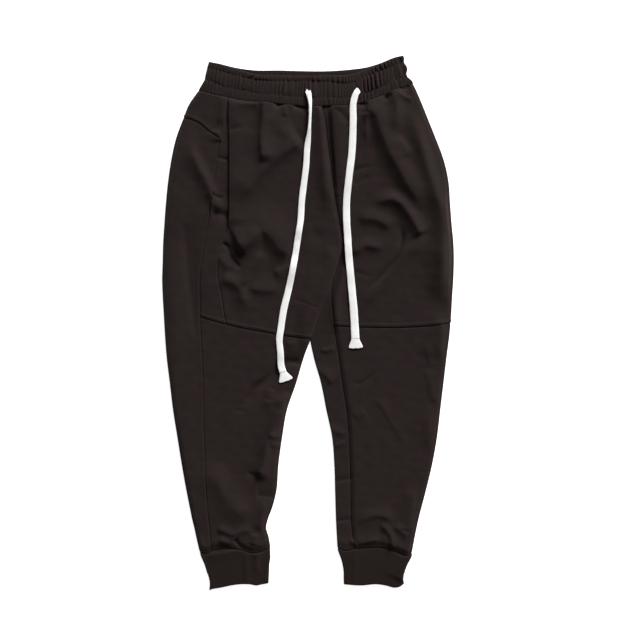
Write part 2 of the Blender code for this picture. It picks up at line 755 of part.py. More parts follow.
def left_panels():
    """The left leg's cut pieces."""
    tube = LEFT_TUBE
    high_bend = lambda down: left_high(down) - BEND
    high_under = lambda down: left_high(down) - BEND + BEND_RUN
    roll = shifted(left_front_edge, ROLL_WIDTH)
    back_near = blend_of(left_side_seam_from_low, left_back_edge, BACK_SHARE)
    hip = [WAIST, crotch_level, LEFT_KNEE_LEVEL]
    hip_rows = [HIP_ROWS, KNEE_ROWS]
    yield panel(
        "left_front", tube, [left_front_edge, roll, high_bend, high_under, left_pocket_seam],
        hip, hip_rows)
    yield panel(
        "left_side_front", tube, [left_pocket_seam, left_side_seam], hip, hip_rows)
    yield panel(
        "left_front_lower", tube, [left_inseam, high_bend, high_under, left_side_seam],
        [LEFT_KNEE_LEVEL, LEFT_ANKLE_LEVEL], [SHIN_ROWS])
    yield panel(
        "left_back", tube, [left_side_seam_from_low, back_near, left_back_edge],
        [left_yoke_from_low, crotch_level, LEFT_KNEE_LEVEL, LEFT_ANKLE_LEVEL],
        [HIP_ROWS - YOKE_ROWS, KNEE_ROWS, SHIN_ROWS])
    yield panel(
        "left_yoke", tube, [left_side_seam_from_low, left_back_edge],
        [WAIST, left_yoke_from_low], [LEFT_YOKE_ROWS])


def left_side_seam_from_low(down):
    """The left side seam underneath, measured round the inner edge instead."""
    return LEFT_TUBE.under_left(down, LEFT["side"](down))


def left_yoke_from_low(x, s, down):
    """The left yoke seam for pieces that are measured round the inner edge."""
    return curve(YOKE_SEAM)(x - left_high(down) - BEND)


def ring_loop(front_columns, bend_columns, back_columns):
    """Once round a pressed ring: part across (0 low edge, 1 high edge) and turn (0 on top, a
    half turn underneath)."""
    part = [np.linspace(0, 1, front_columns + 1), np.ones(bend_columns - 1),
            np.linspace(1, 0, back_columns + 1), np.zeros(bend_columns - 1)]
    steps = np.arange(1, bend_columns) / bend_columns * math.pi
    turn = [np.zeros(front_columns + 1), steps, np.full(back_columns + 1, math.pi),
            math.pi - steps]
    return np.concatenate(part), np.concatenate(turn)


def sewn_loop(tube, edges):
    """The loop of a ring that is sewn to the last rows of the panels in edges, point to point:
    part across and turn, as in ring_loop."""
    s = np.concatenate([edge[0] for edge in edges])
    down = np.concatenate([edge[1] for edge in edges])
    order = np.argsort(s)
    s, down = s[order], down[order]
    keep = np.concatenate([[True], np.diff(s) > 2 * SEAM])
    s, down = s[keep], down[keep]
    left = tube.low(down) + BEND
    right = tube.high(down) - BEND
    past = np.maximum(left - s, s - right)
    under = np.maximum(past - BEND_RUN, 0.0)
    part = np.where(past <= 0.0, (s - left) / (right - left), under / (right - left))
    from_high = (past > 0.0) & (s > right)
    part = np.where(from_high, 1.0 - part, part)
    turn = math.pi * np.clip(past / BEND_RUN, 0.0, 1.0)
    return part, turn


def ring(low, high, lines_front, lines_back, loop, rows, top, wall, raised):
    """Outer and inner grids of a ring of cloth pressed flat. lines_front and lines_back are
    the curves that its rows lie between; raised gives how far its outer face is puffed out."""
    part, turn = loop
    segment, fraction = spread(rows)
    shape = (len(segment), len(part))
    down = np.full(shape, lines_front[0](0.0))
    under = hidden_share(BEND * np.sin(turn), BEND * turn)
    side = np.where(part > 0.5, 1.0, -1.0) * np.sin(turn)
    for _ in range(RING_STEPS):
        x = low(down) + BEND + part * (high(down) - low(down) - 2 * BEND)
        edge_x = x + side * BEND
        levels = np.stack([(1 - under) * front(edge_x) + under * back(edge_x)
                           for front, back in zip(lines_front, lines_back)])
        above = np.take_along_axis(levels, np.broadcast_to(segment[:, None], shape)[None], 0)[0]
        below = np.take_along_axis(levels, np.broadcast_to(segment[:, None] + 1, shape)[None],
                                   0)[0]
        down = above + fraction[:, None] * (below - above)
    down[0] += RING_CLEAR
    down[-1] -= RING_CLEAR
    grids = []
    for depth in (0.0, wall):
        out = raised(x, down, segment[:, None] + fraction[:, None], turn) if depth == 0 else 0.0
        bend = BEND - depth + out
        place_x = x + side * bend
        height = 0.5 * top * (1.0 + np.cos(turn)) + (out - depth) * np.cos(turn)
        height = np.broadcast_to(np.maximum(height, 0.0), shape)
        grids.append(corners(place_x, down, height))
    return grids


def band_relief(x, down, row, turn):
    """Gathers and tier puffs: full on top, half as much at the edges, none underneath."""
    facing = 0.5 + 0.5 * np.cos(turn)
    tier = np.sin(math.pi * (row % 1.0)) ** 2
    wave = 0.5 + 0.5 * np.cos(2 * math.pi * GATHERS * (x - GATHER_START) / GATHER_SPAN)
    fullness = GATHER_REST + (1.0 - GATHER_REST) * tier
    return facing * (TIER_PUFF * tier + GATHER_HEIGHT * fullness * wave)


def met(edge, leg_edge, seam_down):
    """An edge that is level with the leg's own edge at the seam."""
    step = leg_edge(seam_down) - edge(seam_down)
    return lambda down: edge(down) + step * (
        1.0 - smooth((np.abs(down - seam_down) - MEET_FLAT) / MEET_RUN))


def waistband():
    """The elastic band: rows between its top edge, two stitch lines and its lower seam."""
    front = [curve(BAND_TOP_FRONT), curve(BAND_STITCH_1), curve(BAND_STITCH_2),
             curve(WAIST_SEAM)]
    back = [curve(BAND_TOP_BACK)] + front[1:3] + [curve(WAIST_SEAM_BACK)]
    low = met(BAND_EDGE["right"], right_low, WAIST_SEAM[0][1])
    high = met(BAND_EDGE["left"], left_high, WAIST_SEAM[-1][1])
    loop = ring_loop(3 * GATHERS, BAND_BEND_COLUMNS, BAND_BACK_COLUMNS)
    return ring(low, high, front, back, loop, BAND_ROWS, 2 * BAND_WALL + RING_AIR, BAND_WALL,
                band_relief)


def plain(x, down, row, turn):
    """No relief."""
    return np.zeros(np.shape(x))


def cuff(side, tube, seam, hem, edges):
    """A doubled cuff from its seam, where it is sewn to the panels' edges, to its hem."""
    front = [curve(seam), curve(hem)]
    back = [curve((seam[0], seam[-1])), curve(hem)]
    low = met(CUFF[side + "_low"], tube.low, seam[0][1])
    high = met(CUFF[side + "_high"], tube.high, seam[-1][1])
    loop = sewn_loop(tube, edges)
    return ring(low, high, front, back, loop, CUFF_ROW_COUNT, 2 * CUFF_WALL + RING_AIR,
                CUFF_WALL, plain)


def route(points, count):
    """Even steps along a smooth line through (across, down) points."""
    points = np.array(points, float)
    steps = np.hypot(*np.diff(points, axis=0).T)
    run = np.concatenate([[0.0], np.cumsum(steps)])
    where = np.linspace(0.0, run[-1], count)
    x = curve(list(zip(run, points[:, 0])))(where)
    down = curve(list(zip(run, points[:, 1])))(where)
    return x, down


def cloth_height(x, down):
    """Highest cloth at a place, whichever piece it is."""
    seam = curve(WAIST_SEAM)(x)
    band = 2 * BAND_WALL + RING_AIR + TIER_PUFF + GATHER_HEIGHT
    right = np.where(x < right_high(down), right_top(x, down), 0.0)
    left = np.where(x > LEFT["inner"](down), left_top(x, down), 0.0)
    legs = np.maximum(right, left)
    return np.where(down < seam + BAND_REACH, np.maximum(band, legs), legs)


def nearby(height, rule):
    """The rule's value over each point and its neighbours."""
    padded = np.pad(height, CORD_SMOOTH, mode="edge")
    window = 2 * CORD_SMOOTH + 1
    return rule([padded[place:place + len(height)] for place in range(window)], axis=0)


def lay(points, count, width):
    """A cord's middle line, laid on the highest cloth under its width, and its direction."""
    x, down = route(points, count)
    run = np.stack([np.gradient(x), np.gradient(down)])
    run = run / np.hypot(*run)
    reach = np.linspace(-CORD_REACH, CORD_REACH, 7)[:, None, None] * width
    ahead = np.linspace(-CORD_AHEAD, CORD_AHEAD, 5)[None, :, None]
    near_x = x + reach * -run[1] + ahead * run[0]
    near_d = down + reach * run[0] + ahead * run[1]
    height = cloth_height(near_x, near_d).max(axis=(0, 1))
    return x, down, nearby(nearby(height, np.max), np.mean), run


def ribbon(points, count, width, far_width):
    """The sections of a flat cord, which widens to far_width at its far end."""
    x, down, height, run = lay(points, count, far_width)
    wide = np.linspace(width, far_width, count)[:, None] / 2
    around, up = np.array(CORD_SECTION).T
    place_x = x[:, None] - run[1][:, None] * around * wide
    place_d = down[:, None] + run[0][:, None] * around * wide
    place_z = height[:, None] + CORD_CLEAR + CORD_THICK * up
    return corners(place_x, place_d, place_z)


def ribbon_mesh(name, sections):
    """Skin a row of sections and cap both ends."""
    count, sides = sections.shape[:2]
    index = np.arange(count * sides).reshape(count, sides)
    index = np.concatenate([index, index[:, :1]], axis=1)
    a, b, c, d = index[:-1, :-1], index[:-1, 1:], index[1:, 1:], index[1:, :-1]
    faces = np.stack([a, b, c, d], -1).reshape(-1, 4).tolist()
    faces.append(index[0, :-1][::-1].tolist())
    faces.append(index[-1, :-1].tolist())
    mesh = bpy.data.meshes.new(name)
    return closed_mesh(name, sections.reshape(-1, 3), faces)


def cord_end(points):
    """The stretch past a cord's last point: straight on, a seam gap further."""
    (x0, down0), (x1, down1) = points[-2:]
    length = math.hypot(x1 - x0, down1 - down0)
    step_x, step_d = (x1 - x0) / length, (down1 - down0) / length
    return [(x1 + step_x * gone, down1 + step_d * gone)
            for gone in (SEAM, END_LENGTH / 2, END_LENGTH)]


def build():
    """Make every piece of the joggers."""
    for old in list(bpy.data.objects):
        bpy.data.objects.remove(old, do_unlink=True)
    collection = bpy.data.collections.new(NAME)
    bpy.context.scene.collection.children.link(collection)
    finish = {name: material(name) for name in FINISHES}
    edges = {}
    for panels in (right_panels, left_panels):
        for name, (outer, inner), edge in panels():
            add(collection, name, wall_mesh(name, outer, inner), finish["cloth"])
            edges[name] = edge
    right_ankle = [edges["right_back"], edges["right_front_lower"]]
    left_ankle = [edges["left_back"], edges["left_front_lower"]]
    rings = (
        ("waistband", "gathered_band", waistband()),
        ("right_cuff", "cuff_knit",
         cuff("right", RIGHT_TUBE, RIGHT_ANKLE, RIGHT_HEM, right_ankle)),
        ("left_cuff", "cuff_knit",
         cuff("left", LEFT_TUBE, LEFT_ANKLE, LEFT_HEM, left_ankle)),
    )
    for name, slot, (outer, inner) in rings:
        add(collection, name, wall_mesh(name, outer, inner, closed=True), finish[slot])
    for name, points in (("drawcord_right", RIGHT_CORD), ("drawcord_left", LEFT_CORD)):
        body = ribbon(points, CORD_POINTS, CORD_WIDTH, CORD_WIDTH)
        add(collection, name, ribbon_mesh(name, body), finish["cord"])
        tip = ribbon(cord_end(points), END_POINTS, CORD_WIDTH, END_WIDTH)
        end = name + "_end"
        add(collection, end, ribbon_mesh(end, tip), finish["cord"])


build()
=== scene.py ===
"""Joggers laid flat on their back, with their finish: dark jersey with its folds and seams, a
gathered waistband, doubled cuffs and a white flat drawcord.

The tables are in millimetres: "down" is the distance below the waist's highest point, and every
other place is measured across from the middle. Right and left are the wearer's, so right is -X.
Every panel is a thin shell on a flattened tube. A place on the tube is (s, down): s is the
distance across on the top layer, and it runs on round the folded edge and back underneath.
"""
import math

import bpy
import numpy as np
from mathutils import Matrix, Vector


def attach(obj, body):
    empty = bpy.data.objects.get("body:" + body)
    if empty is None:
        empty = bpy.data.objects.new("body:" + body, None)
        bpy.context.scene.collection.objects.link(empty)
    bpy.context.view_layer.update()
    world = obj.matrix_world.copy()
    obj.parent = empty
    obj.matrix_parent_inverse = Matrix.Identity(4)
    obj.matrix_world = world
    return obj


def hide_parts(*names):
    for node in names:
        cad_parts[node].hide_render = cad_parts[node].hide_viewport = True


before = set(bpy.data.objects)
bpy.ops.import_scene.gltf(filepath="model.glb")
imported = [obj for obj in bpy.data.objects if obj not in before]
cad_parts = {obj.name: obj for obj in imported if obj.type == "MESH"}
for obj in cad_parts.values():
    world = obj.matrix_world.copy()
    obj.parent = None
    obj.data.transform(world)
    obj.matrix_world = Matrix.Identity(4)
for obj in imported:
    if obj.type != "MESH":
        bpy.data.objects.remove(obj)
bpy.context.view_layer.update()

MM = 0.001

# Driving sizes, in millimetres
CENTRE_X = 0.51           # middle of the laid garment, across
CENTRE_DOWN = 489.36      # middle of the laid garment, down from the waist
CLOTH = 1.6               # wall of the leg panels
BAND_WALL = 2.8           # waistband: two layers over elastic
CUFF_WALL = 2.6           # doubled cuff
SEAM = 0.3                # gap between two pieces at a seam
ALLOWANCE = 0.25          # each piece's inner face runs on under the seam by this much
BEND = 3.0                # radius of a folded edge
BEND_RUN = math.pi * BEND
STACK = 6.2               # height of two layers of cloth
PRESSED = 4.2             # height of two layers under the other leg
LOFT = 3.0                # air between the layers, away from the edges
CROTCH = 378.0            # where the two legs part
FOLD_TOP = 341.0          # where the right leg's inner edge comes out of the centre seam
LIFT = 4.9                # how far the right leg's inner edge is raised by the left leg
MOUTH_STEP = 4.2          # the pocket mouth stands this much over its facing
MOUTH_END = 318.0         # lower end of the pocket mouth
MOUTH_CLOSE = 20.0        # the step at the mouth closes over this length
MOUTH_SLOPE = 40.0        # width over which the front settles again, inwards of its edge
MOUTH_BRINK = 0.1         # width of the step itself
FACING_TUCK = 7.0         # how far the facing runs under the mouth's edge
FACING_END = 22.0         # the tuck has ended this far above the mouth's lower end
FACING_TURN = 14.0        # length over which it ends

# How the legs lie
OVERLAP_START = 345.0     # the right leg starts to climb onto the left one
OVERLAP_START_RUN = 33.0
OVERLAP_END = 524.0       # and starts to come down off it
OVERLAP_END_RUN = 30.0
CLIMB_START = 30.0        # the climb starts this far before the left leg's edge
CLIMB_RUN = 25.0
DRIFT = 0.2               # slope at which an inner edge moves off above the crotch
AIR_RUN = 9.0             # the air between the layers builds up over this width
FOLD_FADE = 6.0           # the folds die out this far from a folded edge
PRESS_START = 3.0         # the left leg is pressed up to here beyond the right one's edge
PRESS_RUN = 18.0
SOFTNESS = 0.6            # how softly the lowest folds level out, in square millimetres
ROLL_START = 300.0        # the right front starts to turn over its inner edge here
ROLL_WIDTH = 12.0         # width of the strip that turns
TURN_STEP = 2.0           # the last of that strip
INSEAM_RUN = 28.0         # length over which the inseams come round the inner edges
INSEAM_CLEAR = 2.6        # room between the left inseam's edges at the crotch
EDGE_CLEAR = 0.5          # room at the right inseam and the centre seams
TURN_MARGIN = 0.4         # the bend counts as turned this much before its end

# Right leg: folded outer edge, side seam, pocket seam, and its inner edge, which is the
# centre-front seam down to FOLD_TOP and the folded inner edge below it.
RIGHT_COLUMNS = ("down", "outer", "side", "pocket", "inner")
RIGHT_ROWS = (
    (60, -197, -154, -145, 22),
    (90, -218, -154, -145, 25),
    (115, -228, -157, -145, 31),
    (150, -241, -161, -144, 35),
    (190, -250, -166, -144, 40),
    (230, -256, -172, -144, 45),
    (270, -260, -177, -144, 51),
    (310, -263, -183, -146, 59),
    (341, -265, -189, -156, 66),
    (378, -266, -195, -165, 55),
    (410, -267, -198, -164, 45),
    (440, -266, -198, -158, 34),
    (475, -264, -197, -153, 20),
    (510, -262, -196, -147, 9),
    (550, -259, -194, -145, -6),
    (600, -253, -192, -144, -21),
    (650, -247, -191, -143, -38),
    (700, -239, -190, -142, -46.7),
    (750, -231, -188, -141, -53.5),
    (800, -222, -186, -140, -57.6),
    (830, -216, -184, -139, -65.5),
    (850, -212, -182, -138, -73),
    (866, -208, -180, -137, -76),
    (880, -205, -179, -137, -72),
    (915, -197, -175, -135, -66.5),
)

# Left leg: its folded inner edge, the seam where its front begins, the pocket and side seams
# underneath, and its folded outer edge.
LEFT_COLUMNS = ("down", "inner", "front", "pocket", "side", "outer")
LEFT_ROWS = (
    (50, 21, 21, 162, 153, 192),
    (60, 22, 22, 166, 157, 197),
    (90, 25, 25, 180, 170, 210),
    (115, 31, 31, 190, 178, 220),
    (150, 35, 35, 204, 187, 234),
    (190, 40, 40, 216, 194, 249),
    (230, 45, 45, 223, 196, 258),
    (270, 51, 51, 226, 194, 261),
    (310, 59, 59, 228, 191, 264),
    (341, 66, 66, 225, 192, 267),
    (378, 54, 57, 223, 193, 268),
    (410, 30, 45, 227, 193, 267),
    (440, 14, 43, 232, 192, 265),
    (475, 5, 46, 235, 191, 263),
    (510, 3, 50, 238, 190, 260),
    (550, 10, 56, 234, 186, 255),
    (600, 24, 63, 230, 182, 249),
    (650, 34, 71, 226, 179, 243),
    (700, 44.5, 75, 220, 175, 237),
    (750, 48.5, 77, 211, 170, 228),
    (800, 50, 78, 200, 163, 216),
    (850, 51.5, 79, 188, 154, 203),
    (915, 55, 86, 176, 148, 190),
)

# Centre-back seam, underneath, and the slack width that each inseam is turned under.
BACK_COLUMNS = ("down", "centre", "turned_under")
BACK_ROWS = (
    (60, -46, 0),
    (150, -25, 0),
    (230, -3, 0),
    (300, 20, 0),
    (341, 38, 0),
    (378, 55, 0),
    (430, 55, 12),
    (510, 55, 24),
    (915, 55, 26),
)

# Seams that run across: (across, down).
WAIST_SEAM = ((-200, 64), (-172, 72), (-146, 77), (-115, 83), (-86, 86), (-51, 89), (-23, 91),
              (0, 94), (22, 93), (50, 92), (74, 92), (96, 88), (118, 81), (140, 72), (167, 61),
              (194, 52))
WAIST_SEAM_BACK = ((-200, 64), (-130, 79), (-50, 86), (30, 86), (110, 76), (160, 63),
                   (194, 52))
RIGHT_KNEE = ((-267, 470), (-197, 479), (-178, 485), (-148, 493), (-123, 499), (-84, 506),
              (-40, 514), (10, 520))
LEFT_KNEE = ((0, 494), (49, 496), (96, 498), (191, 498), (221, 496), (265, 490))
RIGHT_ANKLE = ((-199, 909), (-187, 913), (-170, 906), (-141, 904), (-124, 906), (-99, 912),
               (-84, 909), (-69, 901))
LEFT_ANKLE = ((57, 903), (69, 907), (88, 904), (118, 902), (134, 902), (152, 907), (166, 912),
              (181, 917), (191, 912))
RIGHT_HEM = ((-184, 981), (-179, 979), (-159, 975), (-134, 970), (-106, 969), (-95, 971),
             (-84, 969), (-72, 967))
LEFT_HEM = ((66, 969), (98, 971), (128, 969), (142, 971), (160, 975), (169, 973), (177, 967))
# Yoke seam: (distance inwards from the outer edge on top, down); below zero it is underneath.
YOKE_SEAM = ((-360, 110), (-20, 114), (-10, 114), (0, 115), (15, 119), (36, 128), (49, 137),
             (66, 146), (90, 160))

# Waistband: its own side edges, its top edge in front and behind, and its stitch lines.
BAND_EDGE_COLUMNS = ("down", "right", "left")
BAND_EDGE_ROWS = (
    (0, -181, 174),
    (11, -181, 176),
    (23, -184, 181),
    (39, -187, 181),
    (46, -189, 187),
    (60, -197, 192),
    (66, -200, 196),
)
BAND_TOP_FRONT = ((-181, 11), (-157, 16), (-132, 24), (-99, 33), (-47, 36), (41, 36), (77, 35),
                  (105, 26), (132, 15), (160, 3), (174, 0))
BAND_TOP_BACK = ((-181, 11), (-157, 16), (-132, 22), (-106, 26), (-47, 27), (-14, 28),
                 (41, 28), (81, 25), (109, 21), (132, 14), (160, 3), (174, 0))
BAND_STITCH_1 = ((-184, 23), (-148, 31), (-107, 42), (-66, 46), (-9, 47), (41, 48), (58, 50),
                 (80, 50), (110, 38), (142, 24), (176, 12))
BAND_STITCH_2 = ((-189, 46), (-170, 50), (-148, 59), (-119, 64), (-84, 71), (-29, 75), (-3, 78),
                 (32, 78), (74, 78), (107, 69), (140, 55), (162, 45), (184, 39))
GATHERS = 46              # gathers across the front of the waistband
GATHER_HEIGHT = 2.9
GATHER_REST = 0.6         # share of that height that is left at the stitch lines
GATHER_START = -200.0
GATHER_SPAN = 366.0
GATHER_CRISP = 1.2        # how sharp the valleys between them are
GATHER_DRIFT = ((0.38, 11.0, 0.8, 0.0), (0.27, 6.3, 1.1, 0.7))
GATHER_SIZE = 0.6         # their size in the mean, along the band, and how it varies
SIZE_SWAY = (0.4, 8.7, 1.2)
SIZE_SHIFT = ((1.1, 31.0, 0.0, 0.0),)
TIER_SIZE = 0.9           # and from tier to tier
TIER_SIZE_SWAY = ((0.3, 21.0, 2.2, 0.0),)
FINE_GATHERS = 2.13       # fine gathers for each large one
FINE_HEIGHT = 0.25
FINE_DRIFT = ((0.9, 9.0, 0.0, 0.0),)
LEAN = 1.5                # how far a gather leans within its tier
LEAN_SWAY = ((1.3, 37.0, 2.0, 0.0),)
LEAN_SPREAD = 32.0        # it leans outwards by its place across over this
BUNCH = 0.4               # the gathers are higher by this share round here
BUNCH_AT = 132.0
BUNCH_RUN = 30.0
LAST_TIER_LESS = 0.55     # they are lower by this share in the last tier
LAST_TIER_FROM = 1.7
TIER_PUFF = 0.7           # swelling of a tier between its stitch lines
TIER_LEVEL = 0.35         # share of it that the stitch lines lie lower
TIER_DEPTH = 14.0
BAND_RIM = 1.4            # radius of the band's top edge
BACK_TURN = 3.0           # turn, in radians, past which a place is on the back
BACK_HIDDEN = 3.0         # the front hides the back below this far above its own top edge
BACK_GATHERS = 0.9
BACK_SHIFT = 4.0
RING_AIR = 0.8            # air inside the band and the cuffs
RING_CLEAR = 0.7 * SEAM
MEET_FLAT = 4.0           # a ring is level with the leg this far to each side of the seam
MEET_RUN = 18.0
CUFF_RIM = 1.6            # radius of the cuff's hem
CUFF_PUFF = 0.9           # swelling of a cuff between its seam and its hem
CUFF_PUFF_CRISP = 0.7
CUFF_SOFT = 0.3           # slow unevenness of a cuff, with its lengths across and down
CUFF_SOFT_RUNS = ((13.0, 29.0), (21.0, -17.0))

# Cuffs: their own side edges.
CUFF_COLUMNS = ("down", "right_low", "right_high", "left_low", "left_high")
CUFF_ROWS = (
    (900, -201, -66, 55, 192),
    (917, -196, -68, 60, 187),
    (932, -189, -70.5, 64, 180.5),
    (945, -185, -71, 66, 175.5),
    (957, -181, -71.5, 66, 173),
    (968, -179.5, -72, 66.3, 177),
    (981, -181, -75, 68, 176),
)

# Creases of the top layer. Each runs through its places, (across, down). Height is up for a
# fold's crest and down for a hollow. Right and left are its breadth on either side, looking
# along it. Crisp is 2 for a round one and near 1 for a sharp one; a crest is round on its left.
# Start and end are the shares of its length over which it grows and dies away, 0 where it
# stops short.
CREASE_COLUMNS = ("places", "height", "right", "left", "crisp", "start", "end")
RIGHT_CREASES = (
    # the edge of the right front along the centre seam
    (((22, 95), (24, 136), (26, 172), (28, 213), (32, 259), (37, 305)), 4.5, 14, 10, 1.6, 0, 0.35),
    (((33, 172), (39, 218), (44, 255), (54, 292)), 2.5, 12, 8, 2, 0.3, 0.4),
    # pleat under the waistband, and the edge of the mound beside it
    (((-82, 73), (-83, 117), (-86, 154), (-84, 176), (-81, 200)), 6.4, 7, 18, 1.1, 0, 0.14),
    (((-106, 132), (-108, 158), (-102, 184)), 1.6, 10, 20, 1.8, 0.3, 0.3),
    (((-128, 275), (-106, 244), (-84, 215), (-58, 191), (-33, 172), (-7, 158)),
     6, 11, 30, 1.4, 0.25, 0.1),
    # dents under the waistband
    (((-64, 84), (-53, 92), (-42, 84)), -4, 5, 6, 1.4, 0.2, 0.2),
    (((-44, 90), (-40, 114)), 1.8, 6, 5, 1.5, 0.2, 0.3),
    (((-27, 88), (-14, 95), (0, 97)), -4.5, 5, 8, 1.4, 0.2, 0),
    (((17, 88), (32, 94), (44, 90)), -4, 5, 6, 1.4, 0, 0),
    (((-150, 73), (-135, 79), (-112, 83)), -4, 5, 6, 1.3, 0, 0.4),
    (((-132, 88), (-112, 90), (-90, 90)), 1.6, 6, 4, 1.6, 0.2, 0.1),
    (((-73, 103), (-58, 121), (-44, 138), (-23, 149)), 1.8, 14, 16, 1.8, 0.3, 0.3),
    (((-139, 136), (-124, 132)), -1, 4, 4, 2, 0, 0),
    # the drape above the knee, and the ridge below it
    (((-132, 360), (-119, 354), (-106, 343), (-95, 330), (-82, 321), (-71, 327), (-60, 339),
      (-51, 352), (-40, 360), (-27, 363)), 6.3, 14, 36, 1.6, 0.12, 0.12),
    (((-130, 360), (-117, 352), (-106, 343), (-95, 330), (-84, 323)), 2.6, 8, 14, 1.4, 0.2, 0.3),
    (((-133, 305), (-132, 330), (-128, 356)), 1.8, 4, 16, 1.3, 0.5, 0.2),
    (((-84, 356), (-95, 378), (-110, 402), (-121, 426)), 3.4, 10, 7, 1.6, 0.25, 0.2),
    (((-73, 361), (-84, 389), (-102, 418)), 1.2, 4, 4, 1.5, 0.3, 0.3),
    # the sharp crease below the pocket
    (((-157, 343), (-146, 352), (-141, 367), (-132, 380), (-121, 393)),
     -3.4, 3, 3.5, 1.3, 0.1, 0.2),
    (((-163, 360), (-154, 378), (-139, 396)), 2, 8, 7, 2, 0.3, 0.3),
    # creases that meet above the knee seam
    (((-161, 409), (-145, 413), (-130, 420), (-123, 431), (-119, 446), (-112, 455), (-99, 459)),
     4, 11, 12, 1.6, 0.15, 0.3),
    (((-113, 426), (-97, 429), (-77, 431), (-46, 433)), 3, 8, 15, 1.4, 0.25, 0.35),
    (((-64, 398), (-49, 395), (-33, 387)), 2.8, 15, 6, 1.6, 0.3, 0),
    (((10, 314), (17, 332), (24, 349)), -1.6, 9, 10, 2, 0.5, 0.5),
    # the short dart by the inner edge
    (((-20, 448), (-1, 455), (19, 462)), -0.9, 1.6, 1.6, 1.5, 0, 0),
    # side panel, and the swell along its outer edge
    (((-233, 108), (-246, 154), (-255, 228), (-258, 292), (-258, 356)), 2.2, 8, 45, 1.6, 0.2, 0.4),
    (((-255, 503), (-242, 631), (-227, 723), (-212, 815), (-196, 897)), 1.4, 8, 30, 1.6, 0.3, 0.2),
    (((-209, 152), (-209, 182), (-200, 206), (-187, 228), (-178, 250), (-172, 277)),
     5.2, 13, 10, 1.5, 0.3, 0.2),
    (((-227, 283), (-224, 338), (-218, 402), (-211, 466), (-203, 543)), -3, 8, 22, 1.6, 0.25, 0.3),
    (((-152, 79), (-156, 103), (-161, 130)), 2.6, 8, 5, 1.4, 0, 0.3),
    (((-163, 136), (-161, 160)), 2.2, 12, 5, 1.6, 0.2, 0.3),
    (((-249, 328), (-246, 448), (-238, 595)), 1.4, 14, 14, 2, 0.3, 0.3),
    # lower leg: the sharp crease towards the knee and its neighbours
    (((-53, 563), (-66, 584), (-80, 598), (-97, 609), (-108, 626), (-119, 639), (-139, 642)),
     -5.5, 5, 8, 1.3, 0, 0.5),
    (((-132, 650), (-119, 651)), -1, 4, 4, 1.6, 0, 0),
    (((-82, 631), (-69, 637), (-55, 631), (-40, 633)), 1.5, 7, 9, 1.3, 0.2, 0.1),
    (((-69, 609), (-73, 628)), 1.2, 7, 10, 1.5, 0.3, 0.2),
    (((-42, 563), (-27, 562), (-9, 565)), -4.6, 4, 8, 1.3, 0, 0),
    (((-40, 530), (-18, 527)), 1.6, 12, 6, 1.6, 0.2, 0.2),
    # the broad fold inside the calf
    (((-40, 628), (-51, 651), (-62, 673), (-69, 694), (-77, 716), (-80, 738), (-86, 760),
      (-90, 780)), 6.6, 12, 14, 1.25, 0.2, 0.12),
    (((-33, 617), (-46, 631), (-58, 648)), 2.6, 9, 12, 1.5, 0.3, 0.4),
    (((-112, 763), (-101, 769), (-90, 769)), -1.5, 3, 10, 1.2, 0.1, 0.1),
    (((-73, 692), (-64, 697), (-51, 699)), 1.8, 4, 6, 1.4, 0.3, 0),
    (((-68, 714), (-53, 714)), 1.6, 4, 6, 1.4, 0.3, 0),
    (((-93, 807), (-79, 807), (-60, 811)), -2.4, 3, 13, 1.2, 0.1, 0),
    (((-77, 813), (-84, 842), (-90, 872)), 2, 10, 6, 1.5, 0.2, 0.2),
    # the long soft shade down the calf
    (((-190, 740), (-176, 767), (-161, 791), (-148, 815), (-134, 831), (-119, 842),
      (-101, 853)), 4.6, 22, 22, 1.4, 0.3, 0.2),
    # above the cuff
    (((-167, 864), (-150, 873), (-135, 877), (-121, 872), (-97, 868)), 2.4, 5, 9, 1.3, 0.1, 0.2),
    (((-163, 884), (-150, 892), (-139, 903)), 2, 4, 6, 1.4, 0.2, 0),
    (((-134, 884), (-126, 897), (-117, 906), (-99, 910)), -4.2, 4, 5, 1.2, 0.1, 0.3),
    (((-95, 875), (-99, 897)), 2.2, 9, 7, 1.5, 0.2, 0.2),
)
